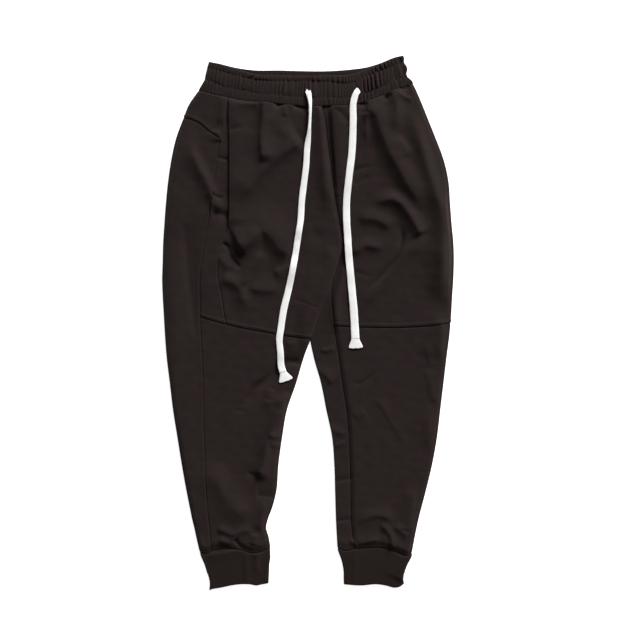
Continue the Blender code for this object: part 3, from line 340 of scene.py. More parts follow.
# The facing behind the pocket mouth
FACING_CREASES = (
    (((-167, 187), (-146, 191)), -1.8, 2.5, 3, 1.4, 0, 0),
    (((-176, 253), (-167, 259), (-156, 262)), -2.2, 2.5, 3, 1.4, 0.1, 0.1),
    (((-179, 272), (-167, 275), (-152, 277)), 3.2, 13, 10, 1.4, 0.1, 0.4),
    (((-178, 290), (-163, 290), (-146, 294)), -3.2, 9, 7, 1.6, 0.3, 0),
)
LEFT_CREASES = (
    # the hollow along the centre seam
    (((33, 88), (35, 127), (39, 163), (43, 200), (48, 237), (52, 261)), -4.5, 3, 9, 1.8, 0, 0.4),
    (((46, 88), (47, 127), (48, 163), (51, 200), (54, 237), (57, 264)), 2.6, 6, 22, 1.5, 0, 0.3),
    (((17, 88), (32, 94), (44, 90)), -4, 5, 6, 1.4, 0, 0),
    (((44, 97), (61, 105), (74, 125)), -1.3, 5, 5, 1.6, 0.2, 0.2),
    # dents under the waistband
    (((90, 79), (98, 88), (110, 92)), -4.2, 6, 8, 1.5, 0, 0.2),
    (((134, 62), (140, 73), (149, 83)), -4.2, 7, 8, 1.5, 0, 0.3),
    (((164, 57), (175, 62), (186, 55)), -3, 3, 4, 1.3, 0.1, 0.1),
    (((162, 68), (178, 77), (195, 83)), 2, 5, 5, 1.6, 0.2, 0.3),
    (((105, 103), (107, 136), (107, 172)), 3, 10, 6, 1.4, 0.1, 0.5),
    # the first long fold
    (((98, 99), (112, 101), (125, 110), (132, 134), (143, 160), (153, 185), (166, 206),
      (178, 228), (191, 250), (202, 270), (210, 288)), 7.8, 14, 24, 1.5, 0.08, 0.22),
    # the short fold beside it
    (((147, 55), (158, 77), (162, 103), (160, 128), (156, 149)), 5.5, 15, 14, 1.4, 0, 0.35),
    (((158, 147), (175, 167), (186, 189)), 2.6, 16, 8, 1.6, 0.3, 0.25),
    # the second long fold, down to the knee seam
    (((178, 84), (189, 112), (199, 141), (208, 172), (217, 204), (226, 231), (235, 259),
      (243, 286), (245, 319), (245, 356), (244, 393), (243, 429), (241, 470)),
     7.2, 16, 16, 1.5, 0.22, 0.25),
    (((244, 328), (244, 393), (243, 457)), 2.4, 28, 16, 2, 0.3, 0.3),
    # the third fold
    (((116, 275), (136, 268), (153, 264), (169, 272), (182, 288), (195, 308), (208, 332)),
     6.5, 11, 12, 1.4, 0.3, 0.08),
    # creases across the thigh
    (((85, 294), (107, 299), (125, 301), (142, 310), (156, 321)), 4, 9, 15, 1.5, 0.3, 0.25),
    (((79, 360), (92, 358), (105, 350), (123, 352), (147, 360)), 3.5, 7, 13, 1.3, 0.1, 0.4),
    (((88, 211), (107, 204)), -1.1, 4, 4, 2, 0, 0),
    (((90, 235), (107, 224)), -1.1, 4, 4, 2, 0, 0),
    (((85, 396), (110, 404)), -0.9, 4, 4, 2, 0, 0),
    # the two arcs that sweep down to the inner knee
    (((171, 308), (173, 334), (167, 356), (156, 378), (142, 398), (123, 417), (103, 431)),
     -4, 5, 5, 1.4, 0.2, 0.35),
    (((92, 468), (118, 433), (142, 406), (162, 382), (177, 363), (199, 352), (215, 339),
      (226, 325)), 3.2, 14, 20, 1.7, 0.2, 0.2),
    (((90, 457), (114, 426), (138, 398), (158, 374), (173, 356)), -2.2, 7, 7, 1.6, 0.3, 0.3),
    # along the inseam
    (((61, 378), (52, 420), (48, 448), (50, 481), (54, 517)), 3.6, 9, 12, 1.3, 0.15, 0.3),
    (((22, 539), (37, 541), (50, 534)), 1.6, 4, 5, 1.4, 0.2, 0.2),
    (((21, 578), (33, 587), (46, 602)), 2.2, 6, 12, 1.4, 0, 0.2),
    (((46, 688), (61, 692)), 1.8, 5, 9, 1.4, 0, 0),
    (((54, 714), (65, 710)), 1.4, 4, 4, 1.4, 0, 0),
    (((52, 780), (77, 776)), -1.6, 2.5, 6, 1.2, 0, 0),
    (((55, 853), (77, 850)), -1.6, 2, 3, 1.2, 0, 0),
    # lower leg
    (((81, 602), (99, 600), (114, 589), (134, 576)), -1.1, 3, 4, 1.5, 0.2, 0.4),
    (((85, 664), (96, 659), (107, 653)), 1.1, 7, 14, 1.5, 0.2, 0.2),
    (((120, 628), (134, 642), (149, 668), (166, 694), (184, 723)), 1, 3, 9, 1.3, 0.15, 0.6),
    (((243, 494), (241, 527), (237, 562)), 3.6, 22, 8, 1.6, 0, 0.45),
    (((213, 527), (221, 552), (224, 574)), 1, 4, 10, 1.4, 0.2, 0.2),
    (((215, 571), (221, 596), (226, 618), (233, 642)), 1.3, 5, 14, 1.4, 0.3, 0.2),
    (((226, 635), (221, 677), (219, 727)), 1.8, 14, 8, 1.8, 0.3, 0.3),
    (((195, 787), (189, 833), (182, 873)), 2.6, 16, 8, 1.6, 0.3, 0.1),
    (((177, 778), (158, 809), (140, 829)), -0.9, 7, 7, 2, 0.3, 0.3),
    # above the cuff
    (((90, 861), (105, 848), (123, 842), (143, 846), (158, 859)), 2.3, 6, 11, 1.4, 0.25, 0.25),
    (((131, 857), (145, 870), (153, 884), (153, 905)), 2.8, 5, 8, 1.3, 0.2, 0),
    (((155, 861), (171, 872), (184, 881)), 2.5, 7, 8, 1.4, 0.25, 0.2),
    (((99, 894), (123, 886)), 1.2, 3, 3, 1.4, 0, 0),
    (((81, 890), (94, 905)), 2, 3, 4, 1.4, 0, 0),
)
# Both cuffs
CUFF_CREASES = (
    (((-174, 914), (-146, 910), (-124, 905), (-91, 908)), 2, 10, 4, 1.6, 0, 0),
    (((-113, 912), (-112, 934), (-113, 969)), 1.2, 6, 6, 1.6, 0.1, 0),
    (((-93, 916), (-93, 952)), 1.5, 9, 5, 1.6, 0, 0.4),
    (((184, 916), (177, 940), (167, 965)), 2.5, 20, 6, 1.6, 0, 0.2),
    (((80.2, 910), (79.3, 969)), -0.7, 1.6, 1.6, 1.5, 0, 0),
    (((83, 910), (83, 969)), 1, 10, 10, 1.6, 0, 0),
)
CREASE_POINTS = 40        # points along each crease
FULLNESS = 1.5            # how full the creases are
CREASE_REACH = 2.6        # a crease is looked up this many breadths away from its line

# Low relief. A row of sways is a sine wave: its height, its length over 2 pi, the share of the
# seed that moves it along, and its start.
WAVE_HEIGHT = 0.16        # unevenness of the cloth all over
WAVE_LENGTHS = (94.0, 71.0, 58.0, 45.0, 37.0, 29.0, 24.0, 19.0)
WAVE_START = 0.5          # direction of the first wave, in radians
WAVE_TURN = 2.4           # each wave's direction is turned by this from the last one's
WAVE_PHASE = 1.7
WAVE_BEND_DOWN = ((6.0, 41.0, 1.0, 0.0),)
WAVE_BEND_ACROSS = ((5.0, 33.0, 2.0, 0.0),)
LEFT_WAVES = 300.0        # the left leg takes its waves from this far across
UNEVEN_DRIFT = ((0.9, 3.1, 1.0, 0.0), (0.7, 1.7, 2.3, 0.0))
UNEVEN_SIZE = 0.62
UNEVEN_SIZES = ((0.38, 2.3, 1.9, 0.0),)
RIPPLE_HEIGHT = 0.5       # ripples that the gathers throw below the waistband
RIPPLE_PITCH = 9.4
RIPPLE_OPEN = 160.0       # they are twice as far apart this much further down
RIPPLE_REACH = 34.0       # length over which they die away
RIPPLE_FADE = 1.4         # and how sharply they do
CUFF_RIPPLE = 0.8         # and above the cuffs
CUFF_RIPPLE_PITCH = 14.0
CUFF_RIPPLE_REACH = 24.0
CUFF_SWELL = 1.5          # the leg swells above the cuff's seam
CUFF_SWELL_AT = 13.0
CUFF_SWELL_RUN = 10.0
CUFF_MEET = 15.0          # over this length the leg comes down to the cuff's height
PUCKER_HEIGHT = 0.22      # puckers along the seams
PUCKER_PITCH = 7.3
PUCKER_REACH = 6.0
SEAM_SEED, FELLED_SEED, WAIST_SEED, CUFF_SEED = 1.0, 2.0, 3.0, 5.0
DITCH = 1.2               # a seam's edges are turned down this much
DITCH_WIDTH = 1.4
RIDGE = 0.75              # height of a felled seam's raised band
RIDGE_FROM = 1.2          # and where it lies, measured from the seam
RIDGE_TO = 6.4
RIDGE_RISE = 1.6
RIDGE_FALL = 1.4
MOUTH_RIM = 0.8           # the pocket mouth's edge is rounded by this much
MOUTH_RIM_RUN = 2.2
RELIEF_TURN = 0.6         # the relief dies out where the face has turned down by this much
EDGE_STRIP = 7.5          # width of the strip of fine cells along a seam
EDGE_STEPS = (0.0, 0.06, 0.13, 0.21, 0.30, 0.42, 0.56, 0.70, 0.84, 1.0)

# Cells of the shells: size on top, and where they rest on the ground
CELL = 2.1
PLAIN_CELL = 9.0
BEND_CELLS = 7            # cells round a folded edge
SETTLE_STEPS = 14
RING_STEPS = 8
GATHER_COLUMNS = 11       # columns for each gather
BAND_ROWS = (13, 13, 13)
BAND_BEND_COLUMNS = 10
BAND_BACK_COLUMNS = 330
CUFF_COLUMN_COUNT = 70
CUFF_BACK_COLUMNS = 30
CUFF_ROW_COUNT = 38

# Drawcord: the two free ends, as (across, down) along the cord's middle.
CORD_WIDTH = 13.0
CORD_THICK = 2.6
CORD_CLEAR = 0.3
RIGHT_CORD = ((-1, 62), (2, 72), (4, 84), (4, 117), (2, 145), (-1, 169), (-3, 202), (-7, 235),
              (-11, 268), (-13, 301), (-18, 334), (-23, 367), (-29, 400), (-36, 433),
              (-44, 466), (-49, 499), (-52, 521), (-50, 543), (-48, 571), (-45, 580))
LEFT_CORD = ((94, 62), (88, 71), (84, 84), (83, 117), (82, 154), (80, 185), (77, 209),
             (74, 235), (71, 268), (71, 301), (73, 334), (75, 367), (78, 400), (81, 433),
             (84, 466), (86, 499), (87, 519))
# Width along each cord: (share of its length, width). The right one is folded edge-on where it
# leaves the band.
RIGHT_CORD_WIDTHS = ((0.0, 10.0), (0.02, 9.6), (0.05, 6.8), (0.08, 5.4), (0.115, 5.5),
                     (0.155, 7.4), (0.19, 10.6), (0.25, 11.2), (0.6, 11.6), (0.8, 12.4),
                     (0.93, 12.0), (1.0, 13.0))
LEFT_CORD_WIDTHS = ((0.0, 10.0), (0.04, 11.6), (0.1, 12.4), (0.45, 12.9), (0.8, 13.6),
                    (1.0, 15.0))
CORD_POINTS = 260
CORD_SIDES = 24
CORD_SQUARE = 0.6         # powers that make its section round-edged, across and up
CORD_FLAT = 0.75
CORD_SWAY = ((0.012, 7.0, 0.0, 0.0), (0.01, 2.9, 0.0, 0.0))
CORD_SWELL = (0.95, 2.0)  # least and most thickening where it is narrow
CORD_PROBES = 9           # the cloth is felt at this many places under its width
CORD_REST = 3             # it rests on the highest of this many points to each side
CORD_EVEN = 4             # and is then evened over this many
CORD_DIVE = 5.0           # the cord sinks this much into the band at its exit
CORD_DIVE_RUN = 9.0
GATHERS_UNDER = 0.8       # share of the gathers' height that holds the cord up
END_LENGTH = 17.0
END_WIDTH = 26.0
END_FLARE = 0.8
END_THIN = 0.25
END_SLOPE = 0.12          # the raw end comes down by no more than this for its length
END_MEET = 4.0
END_SCALLOP = 1.4         # its fringed edge
END_SCALLOP_PITCH = 4.4
END_ROUND = 2.2
END_POINTS = 26

# Stitching
STITCH = 2.6              # length of a stitch
STITCH_PITCH = 3.4
THREAD = 0.34             # half a thread's breadth
THREAD_SEAT = 0.35 * THREAD
STITCH_RINGS = ((-1.0, 0.3), (-0.72, 0.9), (0.0, 1.0), (0.72, 0.9), (1.0, 0.3))
STITCH_SIDES = 6
LINE_POINTS = 400
BAND_LINE_POINTS = 900
BAND_LINE_END = 0.01
BARTACK_PLACES = tuple(52.0 + 0.9 * step for step in range(12))
BARTACK_DOWN = 254.5
BARTACK_DEPTH = 2.6
NEAR, FAR = 2.0, 5.4      # the stitch lines' distances from the seams across
SIDE_NEAR, SIDE_FAR = 2.2, 5.6
FELLED_LINES = [("lower", NEAR), ("lower", FAR)]
STITCH_LINES = {          # edge, distance inside it, and where it starts and ends
    "right_front": [("first", SIDE_FAR, 96, 312)] + FELLED_LINES,
    "right_side_front": FELLED_LINES,
    "right_back": [("last", SIDE_NEAR, 140, 900), ("last", SIDE_FAR, 140, 900)],
    "right_yoke": [("lower", NEAR), ("last", SIDE_NEAR, 90, 128)],
    "left_front": FELLED_LINES,
    "left_front_lower": [("first", NEAR, 500, 895)],
}


def smooth(value):
    """A rise from 0 to 1 with level ends."""
    value = np.clip(value, 0.0, 1.0)
    return value * value * (3.0 - 2.0 * value)


def curve(points):
    """A function through (position, value) points, each stretch a cubic with shared slopes."""
    knots = np.array([point[0] for point in points], float)
    values = np.array([point[1] for point in points], float)
    slopes = np.gradient(values, knots)

    def at(position):
        position = np.clip(position, knots[0], knots[-1])
        index = np.clip(np.searchsorted(knots, position) - 1, 0, len(knots) - 2)
        step = knots[index + 1] - knots[index]
        part = (position - knots[index]) / step
        rise = values[index + 1] - values[index]
        start = slopes[index] * step
        end = slopes[index + 1] * step
        return (values[index] + part * start + part ** 2 * (3 * rise - 2 * start - end)
                + part ** 3 * (start + end - 2 * rise))

    return at


def table(columns, rows):
    """One curve for each named column after the first, against the first."""
    return {name: curve([(row[0], row[place]) for row in rows])
            for place, name in enumerate(columns) if place}


RIGHT = table(RIGHT_COLUMNS, RIGHT_ROWS)
LEFT = table(LEFT_COLUMNS, LEFT_ROWS)
BACK = table(BACK_COLUMNS, BACK_ROWS)
BAND_EDGE = table(BAND_EDGE_COLUMNS, BAND_EDGE_ROWS)
CUFF = table(CUFF_COLUMNS, CUFF_ROWS)


def run_of(steps):
    """How far along each point is, from the steps between them."""
    return np.concatenate([[0.0], np.cumsum(steps)])


def route(points, count):
    """Even steps along a smooth line through (across, down) points."""
    points = np.array(points, float)
    run = run_of(np.hypot(*np.diff(points, axis=0).T))
    where = np.linspace(0.0, run[-1], count)
    return tuple(curve(list(zip(run, axis)))(where) for axis in points.T)


def crease(x, down, row):
    """Height of one crease: over its nearest point, its height times exp(-(d / b) ** c), where
    d is the distance, b its breadth on that side and c how crisp it is."""
    fold = dict(zip(CREASE_COLUMNS, row))
    line_x, line_d = route(fold["places"], CREASE_POINTS)
    reach = CREASE_REACH * max(fold["right"], fold["left"])
    near = ((x > line_x.min() - reach) & (x < line_x.max() + reach)
            & (down > line_d.min() - reach) & (down < line_d.max() + reach))
    height = np.zeros(x.shape)
    run_x, run_d = np.diff(line_x), np.diff(line_d)
    step = np.hypot(run_x, run_d)
    away_x = x[near][:, None] - line_x[:-1]
    away_d = down[near][:, None] - line_d[:-1]
    part = np.clip((away_x * run_x + away_d * run_d) / step ** 2, 0.0, 1.0)
    distance = np.hypot(away_x - part * run_x, away_d - part * run_d)
    nearest = np.argmin(distance, axis=1)[:, None]
    distance = np.take_along_axis(distance, nearest, 1)[:, 0]
    side = np.take_along_axis((away_x * run_d - away_d * run_x) / step, nearest, 1)[:, 0]
    along = np.take_along_axis(part, nearest, 1)[:, 0] + nearest[:, 0]
    along = along / (CREASE_POINTS - 1)
    left = 0.5 + 0.5 * np.clip(side / np.maximum(distance, 0.01), -1.0, 1.0)
    breadth = left * fold["left"] + (1.0 - left) * fold["right"]
    crisp = fold["crisp"]
    if fold["height"] > 0.0:
        crisp = left * 2.0 + (1.0 - left) * crisp
    bell = np.exp(-(distance / breadth) ** crisp)
    if fold["start"]:
        bell = bell * smooth(along / fold["start"])
    if fold["end"]:
        bell = bell * smooth((1.0 - along) / fold["end"])
    height[near] = FULLNESS * fold["height"] * bell
    return height


def creases(x, down, rows):
    """All the creases of one leg, added up."""
    x, down = np.broadcast_arrays(np.asarray(x, float), np.asarray(down, float))
    return sum(crease(x, down, row) for row in rows)


def sway(position, seed, rows):
    """Sine waves along a line, added up."""
    return sum(height * np.sin(position / length + share * seed + start)
               for height, length, share, start in rows)


def waves(x, down):
    """Slow unevenness: plane waves of several lengths, each in its own direction."""
    total = 0.0
    for place, length in enumerate(WAVE_LENGTHS):
        angle = WAVE_TURN * place + WAVE_START
        bent = sway(down, place, WAVE_BEND_DOWN) + sway(x, place, WAVE_BEND_ACROSS)
        run = (x + bent) * math.cos(angle) + (down + bent) * math.sin(angle)
        total = total + np.sin(2 * math.pi * run / length + WAVE_PHASE * place * place)
    return WAVE_HEIGHT * total / math.sqrt(len(WAVE_LENGTHS) / 2)


def uneven(position, pitch, seed):
    """Ripples of an uneven pitch and height along a line, from 0 to 1."""
    turns = position / pitch
    size = UNEVEN_SIZE + sway(turns, seed, UNEVEN_SIZES)
    return size * (0.5 + 0.5 * np.cos(2 * math.pi * turns + sway(turns, seed, UNEVEN_DRIFT)))


def ripples(x, down, ankle):
    """The ripples below the waistband and above the cuff, where the leg also swells."""
    below = np.maximum(down - curve(WAIST_SEAM)(x), 0.0)
    above = np.maximum(curve(ankle)(x) - down, 0.0)
    waist = np.exp(-(below / RIPPLE_REACH) ** RIPPLE_FADE) * uneven(
        x, RIPPLE_PITCH * (1.0 + below / RIPPLE_OPEN), WAIST_SEED)
    cuff = np.exp(-(above / CUFF_RIPPLE_REACH) ** RIPPLE_FADE) * uneven(
        x, CUFF_RIPPLE_PITCH, CUFF_SEED)
    swell = np.exp(-((above - CUFF_SWELL_AT) / CUFF_SWELL_RUN) ** 2)
    return RIPPLE_HEIGHT * waist + CUFF_RIPPLE * cuff + CUFF_SWELL * swell


def overlap_window(down):
    """1 where the right leg lies on the left one, 0 well above and below."""
    on = smooth((down - OVERLAP_START) / OVERLAP_START_RUN)
    return on * (1.0 - smooth((down - OVERLAP_END) / OVERLAP_END_RUN))


right_low = RIGHT["outer"]            # outer folded edges of the legs
left_high = LEFT["outer"]
right_side_seam = RIGHT["side"]       # seams that run down the right leg, on top
right_pocket_seam = RIGHT["pocket"]


def right_high(down):
    """Inner folded edge of the right leg; above the crotch it moves off beyond the seam."""
    return RIGHT["inner"](down) + DRIFT * np.maximum(FOLD_TOP - down, 0.0)


def left_low(down):
    """Inner folded edge of the left leg; above the crotch it moves off beyond the seam."""
    below = LEFT["inner"](np.maximum(down, CROTCH))
    above = BACK["centre"](down) - DRIFT * np.maximum(CROTCH - down, 0.0) - 2 * EDGE_CLEAR
    return np.where(down > CROTCH, below, above)


def right_base(x, down):
    """Underside of the right leg: on the floor, or over the left leg's inner edge."""
    edge = LEFT["inner"](np.maximum(down, CROTCH))
    climb = smooth((x - edge + CLIMB_START) / CLIMB_RUN)
    return LIFT * climb * overlap_window(down)


def left_base(x, down):
    """Underside of the left leg: the floor."""
    return np.zeros(np.broadcast(x, down).shape)


def rise(x, down, low, high, inside, rows, shift, ankle):
    """A leg's top layer over its pressed height: air between the layers, and folds that die
    out inside its outer edge. It is level at the cuff, and its lowest folds level out."""
    air = LOFT * smooth((x - low(down)) / AIR_RUN) * smooth((high(down) - x) / AIR_RUN)
    folds = creases(x, down, rows) + waves(x + shift, down) + ripples(x, down, ankle)
    clear = smooth((curve(ankle)(x) - down) / CUFF_MEET)
    full = STACK - PRESSED + clear * (air + smooth((inside - BEND) / FOLD_FADE) * folds)
    return 0.5 * (full + np.sqrt(full * full + SOFTNESS))


def right_flat_top(x, down, rows=RIGHT_CREASES):
    """Top layer of the right leg, without the step at its pocket mouth."""
    return right_base(x, down) + PRESSED + rise(
        x, down, right_low, RIGHT["inner"], x - right_low(down), rows, 0.0, RIGHT_ANKLE)


def facing_top(x, down):
    """The facing behind the pocket mouth, with creases of its own."""
    return right_flat_top(x, down, RIGHT_CREASES + FACING_CREASES)


def right_top(x, down):
    """Top layer of the right leg: its front stands over the facing along the pocket mouth."""
    open_part = smooth((MOUTH_END - down) / MOUTH_CLOSE)
    past = x - RIGHT["pocket"](down)
    settled = smooth((past - FACING_TUCK - 2 * EDGE_CLEAR) / MOUTH_SLOPE)
    over = smooth(past / MOUTH_BRINK) * (1.0 - settled)
    return right_flat_top(x, down) + MOUTH_STEP * open_part * over


def left_top(x, down):
    """Top layer of the left leg, pressed where the right leg lies on it."""
    free = smooth((x - RIGHT["inner"](down) - PRESS_START) / PRESS_RUN)
    free = 1.0 - (1.0 - free) * overlap_window(down)
    return PRESSED + free * rise(x, down, LEFT["front"], left_high, left_high(down) - x,
                                 LEFT_CREASES, LEFT_WAVES, LEFT_ANKLE)


class Tube:
    """A leg pressed flat: its folded edges, its top and its underside."""

    def __init__(self, low, high, top, base):
        self.low = low
        self.high = high
        self.top = top
        self.base = base

    def bend(self, s, down):
        """How a place lies on the loop: its x, its corner, the folded edge's side, the turn
        round it, and whether it is on top."""
        s, down = np.broadcast_arrays(s, down)
        left = self.low(down) + BEND
        right = self.high(down) - BEND
        use_left = s < left
        past = np.where(use_left, left - s, s - right)
        corner = np.where(use_left, left, right)
        sign = np.where(use_left, -1.0, 1.0)
        turn = math.pi * np.clip(past / BEND_RUN, 0.0, 1.0)
        under = np.maximum(past - BEND_RUN, 0.0)
        x = np.where(past <= 0.0, s, corner + sign * (BEND * np.sin(turn) - under))
        return x, corner, sign, turn, under

    def across(self, s, down):
        """The x of a place on the loop."""
        return self.bend(s, down)[0]

    def skin(self, s, down):
        """The outer face's point, and the way into the cloth there: level with s on top, half
        an ellipse round a folded edge, then back along the underside."""
        s, down = np.broadcast_arrays(s, down)
        x, corner, sign, turn, under = self.bend(s, down)
        high = self.top(np.where(turn > 0.0, corner, s), down)
        low = self.base(np.where(under > 0.0, x, corner), down)
        z = 0.5 * (high + low) + 0.5 * (high - low) * np.cos(turn)
        return x, z, -sign * np.sin(turn), -np.cos(turn)

    def under_left(self, down, x):
        """The s of a place x on the underside, going round the low edge."""
        return self.low(down) + BEND - BEND_RUN - (x - self.low(down) - BEND)

    def under_right(self, down, x):
        """The s of a place x on the underside, going round the high edge."""
        return self.high(down) - BEND + BEND_RUN + (self.high(down) - BEND - x)


RIGHT_TUBE = Tube(right_low, right_high, right_top, right_base)
FACING_TUBE = Tube(right_low, right_high, facing_top, right_base)
LEFT_TUBE = Tube(left_low, left_high, left_top, left_base)


def hidden_share(x, s):
    """How far round a folded edge a place is: 0 on top, 1 underneath."""
    return smooth(np.abs(x - s) / (BEND_RUN - TURN_MARGIN))


def level(seam, behind=None):
    """A seam that runs across, as a function of the place. Underneath it follows the points
    of behind, or else runs straight between its two ends."""
    line = curve(seam)
    back = curve(behind or (seam[0], seam[-1]))

    def at(x, s, down):
        hidden = hidden_share(x, s)
        return (1.0 - hidden) * line(x) + hidden * back(x)

    return at


def crotch_level(x, s, down):
    """The row where the legs part."""
    return np.full(np.shape(x), CROTCH)


def right_yoke_level(x, s, down):
    """The yoke seam, measured inwards from the outer edge of the right leg."""
    return curve(YOKE_SEAM)(s - right_low(down) - BEND)


def left_yoke_from_low(x, s, down):
    """The left yoke seam, for pieces that are measured round the inner edge."""
    return curve(YOKE_SEAM)(x - left_high(down) - BEND)


WAIST = level(WAIST_SEAM, WAIST_SEAM_BACK)
RIGHT_KNEE_LEVEL = level(RIGHT_KNEE)
LEFT_KNEE_LEVEL = level(LEFT_KNEE)
RIGHT_ANKLE_LEVEL = level(RIGHT_ANKLE)
LEFT_ANKLE_LEVEL = level(LEFT_ANKLE)


# Seams that run down the legs, as s against down.

def right_facing_edge(down):
    """The facing's edge, tucked under the pocket mouth as far down as the mouth is open."""
    tuck = FACING_TUCK * smooth((MOUTH_END - FACING_END - down) / FACING_TURN)
    return RIGHT["pocket"](down) + tuck


def right_front_roll(down):
    """Where the right front starts to turn over its inner edge."""
    roll = right_high(down) - BEND
    blend = smooth((down - ROLL_START) / (FOLD_TOP - ROLL_START))
    return (1.0 - blend) * (RIGHT["inner"](down) - ROLL_WIDTH) + blend * roll


def right_front_turned(down):
    """Where the right front has turned right over its inner edge."""
    wrap = BEND + (BEND_RUN - BEND) * smooth((down - FOLD_TOP) / (CROTCH - FOLD_TOP))
    folded = right_high(down) - BEND + wrap
    rolled = smooth((down - ROLL_START) / (FOLD_TOP - ROLL_START))
    flat = RIGHT["inner"](down) - TURN_STEP * (1.0 - rolled)
    return np.where(down < FOLD_TOP, flat, folded)


def right_front_inseam(down):
    """Last edge of the right front: the centre seam, then the inseam underneath."""
    below = right_front_turned(down) + BACK["turned_under"](down)
    return np.where(down < FOLD_TOP, RIGHT["inner"](down), below + TURN_MARGIN)


def right_back_edge(down):
    """Last edge of the right back, underneath: the centre-back seam, then the inseam."""
    edge = RIGHT["inner"](down) - BEND - BACK["turned_under"](down) - EDGE_CLEAR
    x = np.where(down < FOLD_TOP, BACK["centre"](down), np.minimum(BACK["centre"](down), edge))
    return RIGHT_TUBE.under_left(down, x)


def left_inseam(down):
    """Left inseam below the crotch, starting low on the inner edge's bend."""
    natural = LEFT["front"](down)
    just_below = np.nextafter(CROTCH, np.inf)
    at_crotch = left_low(just_below) + BEND - (BEND_RUN - BEND)
    shift = LEFT["front"](CROTCH) - at_crotch
    return natural - shift * (1.0 - smooth((down - CROTCH) / INSEAM_RUN))


def left_front_edge(down):
    """First edge of the left front: the centre seam, the right leg's folded edge, then the
    inseam, which climbs round the inner edge onto the top."""
    return np.where(down < CROTCH, RIGHT["inner"](down) + DRIFT, left_inseam(down))


def left_back_edge(down):
    """Last edge of the left back: the centre-back seam underneath, then the inseam on top."""
    under = LEFT_TUBE.under_left(down, BACK["centre"](down))
    clear = INSEAM_CLEAR * (1.0 - smooth((down - CROTCH) / INSEAM_RUN))
    return np.where(down < CROTCH, under, left_inseam(down) - clear)


def left_pocket_seam(down):
    return LEFT_TUBE.under_right(down, LEFT["pocket"](down))


def left_side_seam(down):
    return LEFT_TUBE.under_right(down, LEFT["side"](down))


def left_side_seam_from_low(down):
    """The left side seam underneath, measured round the inner edge instead."""
    return LEFT_TUBE.under_left(down, LEFT["side"](down))


def shifted(seam, amount):
    """A seam moved along the loop."""
    return lambda down: seam(down) + amount


def blend_of(first, last, part):
    """A line part of the way between two seams."""
    return lambda down: (1.0 - part) * first(down) + part * last(down)


def moved(rule, amount):
    """A level moved down."""
    return lambda x, s, down: rule(x, s, down) + amount


def spread(counts):
    """Segment number and part of the segment for each grid line. A count is a number of even
    cells, or the parts themselves."""
    segment = [0]
    part = [0.0]
    for place, count in enumerate(counts):
        parts = np.arange(1, count + 1) / count if np.isscalar(count) else count[1:]
        segment += [place] * len(parts)
        part += list(parts)
    return np.array(segment), np.array(part)


def between(lines, segment, part):
    """Lines that lie part of the way between two of a stack of lines."""
    shape = lines.shape[1:]
    first = np.take_along_axis(lines, np.broadcast_to(segment, shape)[None], 0)[0]
    last = np.take_along_axis(lines, np.broadcast_to(segment + 1, shape)[None], 0)[0]
    return first + part * (last - first)


def grid_between(tube, stops, columns, levels, rows):
    """Places (s, down) of a panel's grid. Each column lies part of the way between two of the
    stops and each row part of the way between two of the levels, found by iteration, because
    the seams lean."""
    column_segment, column_part = spread(columns)
    row_segment, row_part = spread(rows)
    shape = (len(row_segment), len(column_segment))
    down = np.full(shape, CROTCH)
    for _ in range(SETTLE_STEPS):
        s = between(np.stack([stop(down) for stop in stops]), column_segment, column_part)
        x = tube.across(s, down)
        heights = np.stack([rule(x, s, down) for rule in levels])
        down = between(heights, row_segment[:, None], row_part[:, None])
    down[0] += SEAM / 2
    down[-1] -= SEAM / 2
    return s, down


def corners(x, down, z):
    """Millimetres on the garment to metres in the scene."""
    return np.stack([x - CENTRE_X, CENTRE_DOWN - down, z], axis=-1) * MM


def ditch(distance):
    """How far a seam's edge is turned down, at a distance from the seam."""
    return -DITCH * np.exp(-(distance / DITCH_WIDTH) ** 2)


def ridge(distance):
    """A felled seam's raised band, at a distance from the seam."""
    up = smooth((distance - RIDGE_FROM) / RIDGE_RISE)
    return ditch(distance) + RIDGE * up * (1.0 - smooth((distance - RIDGE_TO) / RIDGE_FALL))


def pucker(distance, along, seed):
    """Small puckers along a seam, dying away from it."""
    return PUCKER_HEIGHT * uneven(along, PUCKER_PITCH, seed) * np.exp(-distance / PUCKER_REACH)


def placed(name, data):
    """A new object in the scene."""
    made = bpy.data.objects.new(name, data)
    bpy.context.scene.collection.objects.link(made)
    return made


def piece_from(name, points, faces, uvs):
    """A smooth-shaded mesh with a UV map in metres. The faces are arrays of point numbers."""
    mesh = bpy.data.meshes.new(name)
    mesh.from_pydata(points.tolist(), [], [face for part in faces for face in part.tolist()])
    corner = np.concatenate([part.ravel() for part in faces])
    layer = mesh.uv_layers.new(name="cloth")
    layer.data.foreach_set("uv", uvs[corner].astype(np.float32).ravel())
    mesh.polygons.foreach_set("use_smooth", np.ones(len(mesh.polygons), bool))
    mesh.update()
    return placed(name, mesh)


def numbered(rows, columns, closed=True):
    """The point numbers of a grid, its first column again at its end if it is closed."""
    index = np.arange(rows * columns).reshape(rows, columns)
    return np.concatenate([index, index[:, :1]], axis=1) if closed else index


def quads(index):
    """The cells of a grid of point numbers."""
    corners_of_cells = index[1:, :-1], index[1:, 1:], index[:-1, 1:], index[:-1, :-1]
    return np.stack(corners_of_cells, -1).reshape(-1, 4)


def shell_faces(rows, columns, closed):
    """Faces of a shell of two grids, outer then inner, rims included."""
    count = rows * columns
    index = numbered(rows, columns, closed)
    faces = [quads(index), quads(index)[:, ::-1] + count]
    edges = [index[0], index[-1][::-1]]
    if not closed:
        edges += [index[::-1, 0], index[:, -1]]
    for line in edges:
        faces.append(np.stack([line[1:] + count, line[:-1] + count, line[:-1], line[1:]], -1))
    return faces


